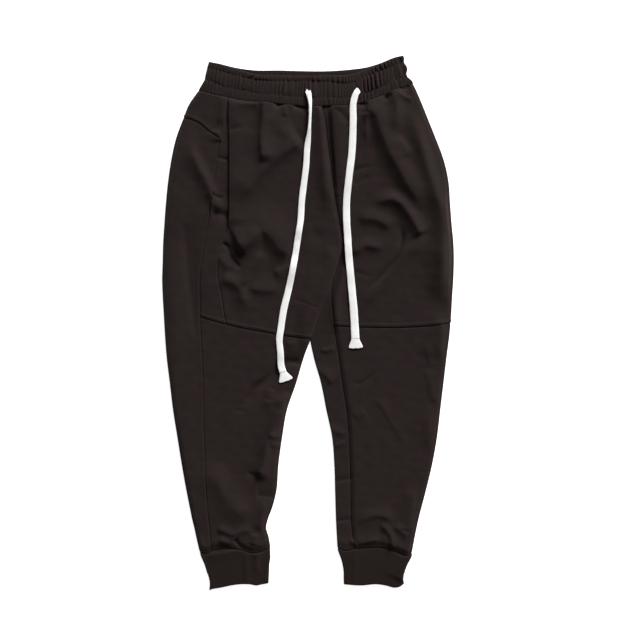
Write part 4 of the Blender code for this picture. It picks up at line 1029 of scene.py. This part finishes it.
def run_on(inner, closed):
    """Move the inner face's rim outwards, so that no light comes through the seam."""
    views = [inner] if closed else [inner, inner.swapaxes(0, 1)]
    for view in views:
        for rim, beside in ((0, 1), (-1, -2)):
            away = view[rim] - view[beside]
            view[rim] += ALLOWANCE * MM * away / np.linalg.norm(away, axis=-1, keepdims=True)


def shell(name, outer, inner, uv, closed=False):
    """A closed shell of cloth as an object."""
    run_on(inner, closed)
    points = np.concatenate([outer.reshape(-1, 3), inner.reshape(-1, 3)])
    uvs = np.concatenate([uv.reshape(-1, 2)] * 2)
    return piece_from(name, points, shell_faces(*outer.shape[:2], closed), uvs)


def flat_area(s, down):
    """Area of the cut, in square metres: each cell's width times its height."""
    width = 0.5 * (np.diff(s, axis=1)[:-1] + np.diff(s, axis=1)[1:])
    height = 0.5 * (np.diff(down, axis=0)[:, :-1] + np.diff(down, axis=0)[:, 1:])
    return float(np.abs(width * height).sum()) * MM * MM


class Panel:
    """One cut piece: the tube that it lies on, its stops and levels with the cells between
    them, and the relief at its first, last, upper and lower edge, None for a bare one."""

    def __init__(self, name, tube, stops, columns, levels, rows, edges):
        self.name = name
        self.tube = tube
        self.edges = edges
        self.levels = levels
        held = [shifted(stops[0], SEAM / 2)] + stops[1:-1] + [shifted(stops[-1], -SEAM / 2)]
        self.held = held
        held, columns = self.strips(held, columns, edges[:2], shifted)
        levels, rows = self.strips(levels, rows, edges[2:], moved)
        s, down = grid_between(tube, held, columns, levels, rows)
        outer, inner = self.places(s, down)
        self.piece = shell(name + "_cloth", outer, inner, np.stack([s, down], -1) * MM)
        self.area = flat_area(s, down)
        self.flat = (float((s.max(axis=1) - s.min(axis=1)).max()) * MM,
                     float(down.max() - down.min()) * MM)

    def strips(self, lines, counts, edges, move):
        """Put a strip of fine cells inside each edge that has relief."""
        lines, counts = list(lines), list(counts)
        if edges[0]:
            lines.insert(1, move(lines[0], EDGE_STRIP))
            counts.insert(0, EDGE_STEPS)
        if edges[1]:
            lines.insert(-1, move(lines[-1], -EDGE_STRIP))
            counts.append(tuple(1.0 - part for part in EDGE_STEPS[::-1]))
        return lines, counts

    def places(self, s, down, lift=0.0):
        """Outer and inner points at places on the panel."""
        x, z, in_x, in_z = self.tube.skin(s, down)
        out = self.relief(s, down, x) * smooth(RELIEF_TURN - in_z) + lift
        outer = corners(x - in_x * out, down, z - in_z * out)
        return outer, corners(x + in_x * CLOTH, down, z + in_z * CLOTH)

    def relief(self, s, down, x):
        """How far the outer face stands out at the seams."""
        distances = (s - self.held[0](down), self.held[-1](down) - s,
                     down - self.levels[0](x, s, down), self.levels[-1](x, s, down) - down)
        out = np.zeros(s.shape)
        for edge, distance, along in zip(self.edges, distances, (down, down, s, s)):
            if edge:
                out += edge(np.maximum(distance, 0.0), along)
        return out

    def line(self, edge, offset, start=None, end=None):
        """Points of a stitch line that runs at an offset inside one of the edges: from start
        to end down the first or last edge, or all along the lower one."""
        part = np.linspace(0.0, 1.0, LINE_POINTS)
        if edge in ("first", "last"):
            down = start + (end - start) * part
            s = self.held[0](down) + offset if edge == "first" else self.held[-1](down) - offset
        else:
            down = np.full(part.shape, CROTCH)
            for _ in range(SETTLE_STEPS):
                low = np.maximum(self.held[0](down), self.tube.low(down) + BEND / 2)
                high = np.minimum(self.held[-1](down), self.tube.high(down) - BEND / 2)
                s = low + (high - low) * part
                down = self.levels[-1](self.tube.across(s, down), s, down) - offset
        return self.places(s, down, THREAD_SEAT)[0]


def cells(width):
    """The number of fine cells over a width."""
    return max(1, round(width / CELL))


def plain_cells(width):
    """The number of coarse cells over a width that rests on the ground."""
    return max(1, round(width / PLAIN_CELL))


# Relief at the edges of a panel, from the distance to the edge and the place along it.

def seam_edge(distance, along):
    return ditch(distance) + pucker(distance, along, SEAM_SEED)


def felled_edge(distance, along):
    return ridge(distance) + pucker(distance, along, FELLED_SEED)


def mouth_edge(distance, along):
    """The pocket mouth's rounded edge, and the seam that goes on below it."""
    open_part = smooth((MOUTH_END - along) / MOUTH_CLOSE)
    rim = -MOUTH_RIM * (1.0 - smooth(distance / MOUTH_RIM_RUN))
    return open_part * rim + (1.0 - open_part) * seam_edge(distance, along)


def facing_seam(distance, along):
    """The facing's edge is tucked away above, and a seam below."""
    return smooth((along - MOUTH_END + FACING_END) / FACING_TURN) * seam_edge(distance, along)


def bend_of(edge, side):
    """Where the bend of a folded edge starts on top, and where it ends underneath."""
    return [shifted(edge, -side * BEND), shifted(edge, side * (BEND_RUN - BEND))]


def leg_panels():
    """Both legs' cut pieces. A width or height that is turned into cells is the panel's own."""
    plain = (None, None, None, None)
    right_outer = bend_of(right_low, -1)[::-1]
    right_inner, left_outer = bend_of(right_high, 1), bend_of(left_high, 1)
    right_across = [right_back_edge] + right_outer + [right_side_seam]
    right_cells = [plain_cells(240), BEND_CELLS, cells(55)]
    right_hip, left_hip = ([WAIST, crotch_level, knee]
                           for knee in (RIGHT_KNEE_LEVEL, LEFT_KNEE_LEVEL))
    right_shin = [RIGHT_KNEE_LEVEL, RIGHT_ANKLE_LEVEL]
    left_shin = [LEFT_KNEE_LEVEL, LEFT_ANKLE_LEVEL]
    left_roll = shifted(left_front_edge, ROLL_WIDTH)
    back_near = blend_of(left_side_seam_from_low, left_back_edge, 0.76)
    hip_rows = [cells(290), cells(118)]
    rows = (
        ("right_front", RIGHT_TUBE,
         [right_pocket_seam, right_front_roll, right_front_turned, right_front_inseam],
         [cells(185), 8, 4], right_hip, hip_rows, (mouth_edge, None, seam_edge, felled_edge)),
        ("right_side_front", FACING_TUBE, [right_side_seam, right_facing_edge], [cells(24)],
         right_hip, hip_rows, (seam_edge, facing_seam, seam_edge, felled_edge)),
        ("right_front_lower", RIGHT_TUBE,
         [right_side_seam] + right_inner + [right_front_inseam], [cells(140), BEND_CELLS, 3],
         right_shin, [cells(400)], (seam_edge, None, seam_edge, seam_edge)),
        ("right_back", RIGHT_TUBE, right_across, right_cells,
         [right_yoke_level, crotch_level] + right_shin, [cells(250), cells(115), cells(410)],
         (None, seam_edge, seam_edge, seam_edge)),
        ("right_yoke", RIGHT_TUBE, right_across, right_cells, [WAIST, right_yoke_level],
         [cells(45)], (None, seam_edge, seam_edge, felled_edge)),
        ("left_front", LEFT_TUBE,
         [left_front_edge, left_roll] + left_outer + [left_pocket_seam],
         [3, cells(180), BEND_CELLS, 4], left_hip, hip_rows,
         (seam_edge, None, seam_edge, felled_edge)),
        ("left_side_front", LEFT_TUBE, [left_pocket_seam, left_side_seam], [4], left_hip,
         [plain_cells(290), plain_cells(120)], plain),
        ("left_front_lower", LEFT_TUBE, [left_inseam] + left_outer + [left_side_seam],
         [cells(150), BEND_CELLS, 6], left_shin, [cells(400)],
         (seam_edge, None, seam_edge, seam_edge)),
        ("left_back", LEFT_TUBE, [left_side_seam_from_low, back_near, left_back_edge],
         [plain_cells(170), cells(54)], [left_yoke_from_low, crotch_level] + left_shin,
         [plain_cells(250), cells(115), cells(410)], (None, seam_edge, None, seam_edge)),
        ("left_yoke", LEFT_TUBE, [left_side_seam_from_low, left_back_edge],
         [plain_cells(220)], [WAIST, left_yoke_from_low], [5], plain),
    )
    return {row[0]: Panel(*row) for row in rows}


def ring_loop(front_columns, bend_columns, back_columns):
    """Once round a pressed ring: part across (0 low edge, 1 high edge) and turn (0 on top, a
    half turn underneath)."""
    part = [np.linspace(0, 1, front_columns + 1), np.ones(bend_columns - 1),
            np.linspace(1, 0, back_columns + 1), np.zeros(bend_columns - 1)]
    steps = np.arange(1, bend_columns) / bend_columns * math.pi
    turn = [np.zeros(front_columns + 1), steps, np.full(back_columns + 1, math.pi),
            math.pi - steps]
    return np.concatenate(part), np.concatenate(turn)


def met(edge, leg_edge, seam_down):
    """An edge that is level with the leg's own edge at the seam."""
    step = leg_edge(seam_down) - edge(seam_down)
    return lambda down: edge(down) + step * (
        1.0 - smooth((np.abs(down - seam_down) - MEET_FLAT) / MEET_RUN))


class Ring:
    """A band of cloth pressed flat: its rows lie between curves, in front and behind."""

    def __init__(self, name, low, high, lines_front, lines_back, loop, rows, wall, raised):
        self.low = low
        self.high = high
        self.lines = list(zip(lines_front, lines_back))
        self.wall = wall
        self.top = 2 * wall + RING_AIR
        self.raised = raised
        part, turn = loop
        segment, fraction = spread(rows)
        row = (segment + fraction)[:, None]
        outer, inner, down = self.places(part, turn, row)
        around = run_of(np.hypot(*np.diff(outer[0, :, ::2].T)))
        uv = np.stack(np.broadcast_arrays(around[None, :], down * MM), -1)
        self.piece = shell(name, outer, inner, uv, closed=True)
        self.round = float(around[-1])
        self.height = float((down[-1] - down[0]).mean()) * MM

    def places(self, part, turn, row):
        """Outer and inner points of places round the ring, and how far down they are."""
        part, turn, row = np.broadcast_arrays(part, turn, row)
        segment = np.minimum(np.floor(row).astype(int), len(self.lines) - 2)
        fraction = row - segment
        down = np.full(part.shape, float(self.lines[0][0](0.0)))
        under = hidden_share(BEND * np.sin(turn), BEND * turn)
        side = np.where(part > 0.5, 1.0, -1.0) * np.sin(turn)
        for _ in range(RING_STEPS):
            x = self.low(down) + BEND + part * (self.high(down) - self.low(down) - 2 * BEND)
            edge_x = x + side * BEND
            levels = np.stack([(1 - under) * front(edge_x) + under * back(edge_x)
                               for front, back in self.lines])
            down = between(levels, segment, fraction)
        down = down + RING_CLEAR * ((row == 0) * 1.0 - (row == len(self.lines) - 1))
        grids = []
        for depth, out in zip((0.0, self.wall), self.raised(self, x, down, row, turn)):
            place_x = x + side * (BEND - depth + out)
            height = 0.5 * self.top * (1.0 + np.cos(turn)) + (out - depth) * np.cos(turn)
            grids.append(corners(place_x, down, np.maximum(height, 0.0)))
        return grids[0], grids[1], down


def rounded(distance, radius):
    """How far a folded rim falls away at a distance from its edge: a quarter circle."""
    gone = np.clip(1.0 - distance / radius, 0.0, 1.0)
    return radius * (1.0 - np.sqrt(1.0 - gone * gone))


def tier_place(row):
    """The tier that a row is in, and how far down it, from 0 to 1."""
    tier = np.floor(np.minimum(row, len(BAND_ROWS) - 0.01))
    return tier, row - tier


def gathers(x, row):
    """Gathers over elastic, 0 to 1: round crests with sharp valleys, a little uneven, and
    leaning a little differently in each tier."""
    tier, within = tier_place(row)
    lean = (LEAN + sway(x, tier, LEAN_SWAY) - x / LEAN_SPREAD) * (within - 0.5)
    drift = sway(x, tier, GATHER_DRIFT)
    place = GATHERS * (x + lean - GATHER_START) / GATHER_SPAN + drift
    size = GATHER_SIZE + sway(x, tier, [SIZE_SWAY + (sway(x, 0.0, SIZE_SHIFT),)])
    size = size * (TIER_SIZE + sway(x, tier, TIER_SIZE_SWAY))
    fine = np.abs(np.cos(FINE_GATHERS * math.pi * place + sway(x, 0.0, FINE_DRIFT)))
    crest = size * np.abs(np.cos(math.pi * place)) ** GATHER_CRISP + FINE_HEIGHT * fine
    bunched = 1.0 + BUNCH * np.exp(-((x - BUNCH_AT) / BUNCH_RUN) ** 2)
    return bunched * crest * (1.0 - LAST_TIER_LESS * smooth(row - LAST_TIER_FROM))


def band_raised(ring, x, down, row, turn):
    """The waistband's relief: gathers and tier puffs, none underneath, and inside the back
    only where the front doesn't cover it."""
    facing = 0.5 + 0.5 * np.cos(turn)
    within = tier_place(row)[1]
    tier = np.sqrt(np.clip(np.sin(math.pi * within), 0.0, 1.0))
    fullness = GATHER_REST + (1.0 - GATHER_REST) * tier
    rim = rounded(np.where(row < 1.0, within * TIER_DEPTH, BAND_RIM), BAND_RIM)
    out = TIER_PUFF * (tier - TIER_LEVEL) + GATHER_HEIGHT * fullness * gathers(x, row)
    shown = BACK_HIDDEN + down - curve(BAND_TOP_FRONT)(x)
    bare_back = (turn > BACK_TURN) * (1.0 - smooth(shown / BACK_HIDDEN))
    inside = -BACK_GATHERS * bare_back * fullness * gathers(x + BACK_SHIFT, row)
    return facing * (out - rim), inside


def cuff_raised(ring, x, down, row, turn):
    """A cuff's relief: its rounded hem and its seam's ditch."""
    top, hem = (ring.lines[place][0](x) for place in (0, -1))
    rim = rounded(np.maximum(hem - down, 0.0), CUFF_RIM)
    swell = CUFF_PUFF * np.sin(math.pi * np.clip(row, 0.0, 1.0)) ** CUFF_PUFF_CRISP
    soft = [np.sin(x / across + down / along) for across, along in CUFF_SOFT_RUNS]
    out = (swell + CUFF_SOFT * soft[0] * soft[1] + creases(x, down, CUFF_CREASES)
           + ditch(np.maximum(down - top, 0.0)) - rim)
    return (0.5 + 0.5 * np.cos(turn)) * out, np.zeros_like(out)


def waistband():
    """The elastic band: rows between its top edge, two stitch lines and its lower seam."""
    front = [curve(BAND_TOP_FRONT), curve(BAND_STITCH_1), curve(BAND_STITCH_2),
             curve(WAIST_SEAM)]
    back = [curve(BAND_TOP_BACK)] + front[1:3] + [curve(WAIST_SEAM_BACK)]
    low = met(BAND_EDGE["right"], right_low, WAIST_SEAM[0][1])
    high = met(BAND_EDGE["left"], left_high, WAIST_SEAM[-1][1])
    loop = ring_loop(GATHER_COLUMNS * GATHERS, BAND_BEND_COLUMNS, BAND_BACK_COLUMNS)
    return Ring("waistband_cloth", low, high, front, back, loop, BAND_ROWS, BAND_WALL,
                band_raised)


def cuff(side, tube, seam, hem):
    """A doubled cuff from its seam to its hem."""
    front = [curve(seam), curve(hem)]
    back = [curve((seam[0], seam[-1])), curve(hem)]
    low = met(CUFF[side + "_low"], tube.low, seam[0][1])
    high = met(CUFF[side + "_high"], tube.high, seam[-1][1])
    loop = ring_loop(CUFF_COLUMN_COUNT, BAND_BEND_COLUMNS, CUFF_BACK_COLUMNS)
    return Ring(side + "_cuff_cloth", low, high, front, back, loop, (CUFF_ROW_COUNT,),
                CUFF_WALL, cuff_raised)


def cloth_height(x, down):
    """Highest cloth at a place, whichever piece it is."""
    band = (2 * BAND_WALL + RING_AIR + (1.0 - TIER_LEVEL) * TIER_PUFF
            + GATHERS_UNDER * GATHER_HEIGHT)
    right = np.where(x < RIGHT["inner"](down), right_top(x, down), 0.0)
    left = np.where(x > LEFT["inner"](down), left_top(x, down), 0.0)
    legs = np.maximum(right, left)
    return np.where(down < curve(WAIST_SEAM)(x), np.maximum(band, legs), legs)


def evened(values, window, rule):
    """A line of values, each ruled by its neighbours within the window."""
    padded = np.pad(values, window, mode="edge")
    count = len(values)
    return rule([padded[place:place + count] for place in range(2 * window + 1)], axis=0)


def round_steps(sides):
    """Even angles once round."""
    return 2 * math.pi * np.arange(sides) / sides


def laid_line(points, count, width):
    """A cord's middle line on the cloth under its width, with its direction, in millimetres."""
    x, down = route(points, count)
    run = np.stack([np.gradient(x), np.gradient(down)])
    run = run / np.hypot(*run)
    reach = np.linspace(-0.5, 0.5, CORD_PROBES)[:, None] * width
    height = cloth_height(x - reach * run[1], down + reach * run[0]).max(axis=0)
    height = evened(evened(height, CORD_REST, np.max), CORD_EVEN, np.mean)
    return x, down, height, run


def flat_sections(line, widths, thick):
    """Sections of a flat cord along a line: round-edged, flatter than wide."""
    x, down, height, run = line
    wide, tall = (np.sign(way) * np.abs(way) ** power
                  for way, power in ((np.cos(round_steps(CORD_SIDES)), CORD_SQUARE),
                                     (np.sin(round_steps(CORD_SIDES)), CORD_FLAT)))
    across = wide * (widths / 2)[:, None]
    place_x = x[:, None] - run[1][:, None] * across
    place_d = down[:, None] + run[0][:, None] * across
    place_z = height[:, None] + CORD_CLEAR + thick[:, None] * (0.5 + 0.5 * tall)
    return place_x, place_d, place_z, across


def tube_mesh(name, sections, along):
    """Skin a row of closed sections and cap both ends."""
    place_x, place_d, place_z, across = sections
    points = corners(place_x, place_d, place_z)
    count, sides = points.shape[:2]
    index = numbered(count, sides)
    first = np.full(sides, count * sides)
    faces = [quads(index), np.stack([first, index[0, :-1], index[0, 1:]], -1),
             np.stack([first + 1, index[-1, 1:], index[-1, :-1]], -1)]
    uv = np.stack([across, np.broadcast_to(along[:, None], across.shape)], -1).reshape(-1, 2)
    uv = np.concatenate([uv, [[0.0, along[0]], [0.0, along[-1]]]]) * MM
    points = np.concatenate([points.reshape(-1, 3), points[[0, -1]].mean(axis=1)])
    return piece_from(name, points, faces, uv)


def drawcord(name, points, width_rows):
    """One free end of the drawcord, and its flared raw tip."""
    line = laid_line(points, CORD_POINTS, CORD_WIDTH)
    x, down, height, run = line
    length = run_of(np.hypot(np.diff(x), np.diff(down)))
    widths = curve(width_rows)(length / length[-1]) * (1.0 + sway(length, 0.0, CORD_SWAY))
    thick = CORD_THICK * np.clip(CORD_WIDTH / widths, *CORD_SWELL)
    height -= CORD_DIVE * (1.0 - smooth(length / CORD_DIVE_RUN))
    body = tube_mesh(name, flat_sections(line, widths, thick), length)
    path = corners(x, down, height + CORD_CLEAR + thick / 2)
    tip_line, tip_length = cord_tip(x, down, height, run)
    share = tip_length / END_LENGTH
    tip_widths = widths[-1] + (END_WIDTH - widths[-1]) * smooth(share) ** END_FLARE
    *places, height, across = flat_sections(tip_line, tip_widths,
                                            CORD_THICK * (1.0 - END_THIN * share))
    scallop = END_SCALLOP * np.abs(np.sin(across * math.pi / END_SCALLOP_PITCH))
    scallop = (scallop - END_ROUND * (across / END_WIDTH * 2) ** 2) * share[:, None] ** 3
    places = [place + way * scallop for place, way in zip(places, run[:, -1])]
    end = tube_mesh(name + "_tip", (*places, height, across), length[-1] + tip_length)
    return body, end, path, float(length[-1]) * MM


def cord_tip(x, down, height, run):
    """The stretch past a cord's last point: straight on, laid on the cloth."""
    gone = np.linspace(0.0, END_LENGTH, END_POINTS)
    tip_x = x[-1] + run[0, -1] * gone
    tip_d = down[-1] + run[1, -1] * gone
    ground = evened(cloth_height(tip_x, tip_d), CORD_EVEN, np.max)
    ground = np.maximum(ground, height[-1] - END_SLOPE * gone)
    first = 1.0 - smooth(gone / END_MEET)
    tip_run = np.repeat(run[:, -1:], END_POINTS, axis=1)
    return (tip_x, tip_d, first * height[-1] + (1.0 - first) * ground, tip_run), gone


def stitches(name, lines):
    """Threads along lines of points in metres, each a short six-sided bead."""
    centres, runs = [], []
    for line in lines:
        gone = run_of(np.linalg.norm(np.diff(line, axis=0), axis=1))
        count = max(2, int(gone[-1] / (STITCH_PITCH * MM)))
        where = (np.arange(count) + 0.5) / count * gone[-1]
        back, front = (np.stack([np.interp(where + step * STITCH * MM / 2, gone, axis)
                                 for axis in line.T], -1) for step in (-1, 1))
        centres.append((back + front) / 2)
        runs.append((front - back) / 2)
    centres, runs = np.concatenate(centres), np.concatenate(runs)
    side = np.cross(runs, (0.0, 0.0, 1.0))
    side /= np.linalg.norm(side, axis=1)[:, None]
    over = np.cross(side, runs)
    over /= np.linalg.norm(over, axis=1)[:, None]
    along, thick = np.array(STITCH_RINGS).T[..., None]
    thick = thick * THREAD * MM
    angle = round_steps(STITCH_SIDES)
    ways = ((runs, along), (side, thick * np.cos(angle)), (over, thick * np.sin(angle)))
    points = sum((way[:, None, None] * size[..., None] for way, size in ways),
                 centres[:, None, None]).reshape(-1, 3)
    index = numbered(len(STITCH_RINGS), STITCH_SIDES)
    caps = [index[0, [0, 1, 2, 3]], index[0, [0, 3, 4, 5]],
            index[-1, [3, 2, 1, 0]], index[-1, [5, 4, 3, 0]]]
    one = np.concatenate([np.roll(quads(index), 1, axis=1), caps])
    bead = len(STITCH_RINGS) * STITCH_SIDES
    faces = one + (np.arange(len(centres)) * bead)[:, None, None]
    return piece_from(name, points, [faces.reshape(-1, 4)], points[:, :2])


class Value:
    """A shader value that takes part in arithmetic."""

    def __init__(self, shader, socket):
        self.shader = shader
        self.socket = socket

    def math(self, operation, other=0.0):
        return self.shader.node("ShaderNodeMath", {"operation": operation}, {0: self, 1: other})

    def __add__(self, other):
        return self.math("ADD", other)

    def __sub__(self, other):
        return self.math("SUBTRACT", other)

    def __mul__(self, other):
        return self.math("MULTIPLY", other)


class Shader:
    """A material made of nodes."""

    def __init__(self, name):
        self.material = bpy.data.materials.new(name)
        self.material.use_nodes = True
        self.tree = self.material.node_tree
        self.surface = self.tree.nodes["Principled BSDF"]

    def node(self, kind, settings, values, output=0):
        """A node of any kind: its settings first, then its inputs; gives one output."""
        made = self.tree.nodes.new(kind)
        for name, value in settings.items():
            setattr(made, name, value)
        self.feed(made, values)
        return Value(self, made.outputs[output])

    def feed(self, node, values):
        """Link each value to its input, or set it."""
        for name, value in values.items():
            if isinstance(value, Value):
                self.tree.links.new(value.socket, node.inputs[name])
            else:
                node.inputs[name].default_value = value

    def mix(self, share, first, second, blend="MIX"):
        """A colour between two, or their product."""
        return self.node("ShaderNodeMix", {"data_type": "RGBA", "blend_type": blend},
                         {"Factor": share, 6: first, 7: second}, output=2)

    def noise(self, place, scale, detail):
        """Noise over the cloth, in waves for each metre."""
        return self.node("ShaderNodeTexNoise", {"noise_dimensions": "3D"},
                         {"Vector": place, "Scale": scale, "Detail": detail})

    def ramp(self, value, low, high):
        """A value stretched, so that low gives 0 and high gives 1."""
        return self.node("ShaderNodeMapRange", {},
                         {"Value": value, "From Min": low, "From Max": high})


# The knit's look: the V of its loops, the shares of loops, columns and fluff in its relief,
# and the noises that vary its shade and its cast.
LOOP_LEAN = 1.1
LOOP_SHARE, COLUMN_SHARE, FLUFF_SHARE = 0.35, 0.4, 0.9
BUMP = 0.55
FLUFF = (900.0, 2.0)
PATCH = (55.0, 4.0)
CAST_NOISE = (24.0, 3.0)
FLUFF_SHADE, PATCH_SHADE = 0.6, 0.4
SHADE_RANGE = (0.36, 0.64)
CAST_RANGE = (0.4, 0.6)
SPECULAR = 0.15
SHEEN_ROUGHNESS = 0.5
SHEEN_TINT = (1.0, 0.8, 0.76, 1.0)


def knit(name, dark, light, roughness, wale, course, relief, sheen, cast=0.0):
    """A knitted cloth: columns of V-shaped stitches, wale wide and course high, in
    millimetres, with a little fluff and unevenness of colour. Cast is how far its colour
    drifts between a purple and an olive brown."""
    shader = Shader(name)
    place = shader.node("ShaderNodeUVMap", {"uv_map": "cloth"}, {})
    split = shader.node("ShaderNodeSeparateXYZ", {}, {0: place})
    across = split * (1.0 / (wale * MM))
    down = Value(shader, split.socket.node.outputs[1]) * (1.0 / (course * MM))
    lean = (across.math("FRACT") - 0.5).math("ABSOLUTE")
    loops = ((down + lean * LOOP_LEAN) * (2 * math.pi)).math("SINE")
    columns = (across * (2 * math.pi)).math("COSINE")
    fluff = shader.noise(place, *FLUFF)
    height = loops * LOOP_SHARE - columns * COLUMN_SHARE + fluff * FLUFF_SHARE
    normal = shader.node("ShaderNodeBump", {}, {"Strength": BUMP, "Distance": relief * MM,
                                                "Height": height})
    shade = fluff * FLUFF_SHADE + shader.noise(place, *PATCH) * PATCH_SHADE
    colour = shader.mix(shader.ramp(shade, *SHADE_RANGE), dark, light)
    if cast:
        more, less = 1.0 + cast, 1.0 - cast
        share = shader.ramp(shader.noise(place, *CAST_NOISE), *CAST_RANGE)
        tint = shader.mix(share, (more, less, more, 1.0), (less, more, less, 1.0))
        colour = shader.mix(1.0, colour, tint, "MULTIPLY")
    shader.feed(shader.surface, {
        "Normal": normal, "Base Color": colour, "Roughness": roughness,
        "Specular IOR Level": SPECULAR, "Sheen Weight": sheen,
        "Sheen Roughness": SHEEN_ROUGHNESS, "Sheen Tint": SHEEN_TINT})
    return shader.material


# Each slot's name, dark and light colour, roughness, wale, course and relief in millimetres,
# sheen and cast.
MATERIALS = {
    "cloth": knit("dark jersey", (0.0109, 0.0062, 0.0055, 1), (0.0158, 0.0092, 0.0082, 1),
                  0.85, 1.05, 0.85, 0.35, 0.06, 0.07),
    "gathered_band": knit("gathered jersey", (0.0120, 0.0070, 0.0063, 1),
                          (0.0174, 0.0104, 0.0094, 1), 0.85, 1.05, 0.85, 0.35, 0.06, 0.07),
    "cuff_knit": knit("cuff knit", (0.0085, 0.0047, 0.0034, 1), (0.0121, 0.0068, 0.0049, 1),
                      0.88, 0.9, 0.7, 0.3, 0.06),
    "cord": knit("white cord", (0.74, 0.74, 0.725, 1), (0.87, 0.87, 0.855, 1),
                 0.8, 1.7, 2.2, 0.5, 0.1),
}


def dress(piece, slot, *nodes):
    """Give a piece its finish and its body, and hide the CAD nodes that it stands for."""
    piece.data.materials.append(MATERIALS[slot])
    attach(piece, "root")
    if nodes:
        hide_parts(*nodes)


def band_stitches(ring):
    """Points along the waistband's two stitch lines, on its outer face."""
    part = np.linspace(BAND_LINE_END, 1.0 - BAND_LINE_END, BAND_LINE_POINTS)
    for row in (1.0, 2.0):
        line = ring.places(part, np.zeros_like(part), np.full_like(part, row))[0]
        yield line + np.array([0.0, 0.0, THREAD_SEAT * MM])


def bartack(panel):
    """Points along the close threads that lock the end of the fly's seam."""
    down = BARTACK_DOWN + BARTACK_DEPTH * np.array([-0.5, 0.5])
    return [panel.places(np.full(2, x), down, THREAD_SEAT)[0] for x in BARTACK_PLACES]


# The camera stands straight above, a little off the garment's middle, as in the photograph.
LENS = 85.0
SENSOR = 36.0
VIEW = 1.1744             # metres of the floor that it sees across
camera = placed("camera", bpy.data.cameras.new("camera"))
camera.data.lens = LENS
camera.data.sensor_width = SENSOR
camera.location = (0.0219, 0.0049, VIEW * LENS / SENSOR)
bpy.context.scene.camera = camera

# The drawcord's two free ends come out of the waistband.
for name, points, widths in (("drawcord_right", RIGHT_CORD, RIGHT_CORD_WIDTHS),
                             ("drawcord_left", LEFT_CORD, LEFT_CORD_WIDTHS)):
    body, end, path, length = drawcord(name + "_knit", points, widths)
    dress(body, "cord", name)
    dress(end, "cord", name + "_end")
    tuple(path[0])
    [tuple(point) for point in path]

panels = leg_panels()
sewn = {}
for name, lines in STITCH_LINES.items():
    points = [panels[name].line(*line) for line in lines]
    if name == "left_front":
        points += bartack(panels[name])
    sewn[name] = stitches(name + "_stitches", points)
    dress(sewn[name], "cloth")
for name, panel in panels.items():
    dress(panel.piece, "cloth", name)
    [sewn[name]] if name in sewn else []

rings = {
    "waistband": (waistband(), "gathered_band"),
    "right_cuff": (cuff("right", RIGHT_TUBE, RIGHT_ANKLE, RIGHT_HEM), "cuff_knit"),
    "left_cuff": (cuff("left", LEFT_TUBE, LEFT_ANKLE, LEFT_HEM), "cuff_knit"),
}
band_threads = stitches("waistband_stitches", band_stitches(rings["waistband"][0]))
dress(band_threads, "gathered_band")
for name, (ring, slot) in rings.items():
    dress(ring.piece, slot, name)
    [band_threads] if name == "waistband" else []

# A plain pale floor. It gives off a little light, so that it stays even and nearly white.
FLOOR = 40.0              # metres from the middle to each side
floor_mesh = bpy.data.meshes.new("floor")
floor_mesh.from_pydata([(-FLOOR, -FLOOR, 0), (FLOOR, -FLOOR, 0), (FLOOR, FLOOR, 0),
                        (-FLOOR, FLOOR, 0)], [], [(0, 1, 2, 3)])
floor = placed("floor", floor_mesh)
paint = Shader("pale floor")
paint.feed(paint.surface, {"Base Color": (0.8, 0.8, 0.8, 1), "Roughness": 0.9,
                           "Emission Color": (1, 1, 1, 1), "Emission Strength": 0.85})
floor.data.materials.append(paint.material)

# Soft light comes low from the waist's side and the garment's left, over a dim white world.
WORLD_LIGHT = 0.2
KEY_LIGHT = 6.3
KEY_WIDTH = math.radians(24)
KEY_FROM = Vector((0.417, 0.784, 0.454))
world = bpy.data.worlds.new("studio")
world.use_nodes = True
background = world.node_tree.nodes["Background"].inputs
background["Color"].default_value = (1, 1, 1, 1)
background["Strength"].default_value = WORLD_LIGHT
bpy.context.scene.world = world
bpy.context.scene.view_settings.view_transform = "Standard"
key = placed("key", bpy.data.lights.new("key", "SUN"))
key.data.energy = KEY_LIGHT
key.data.angle = KEY_WIDTH
key.rotation_euler = KEY_FROM.to_track_quat("Z", "Y").to_euler()
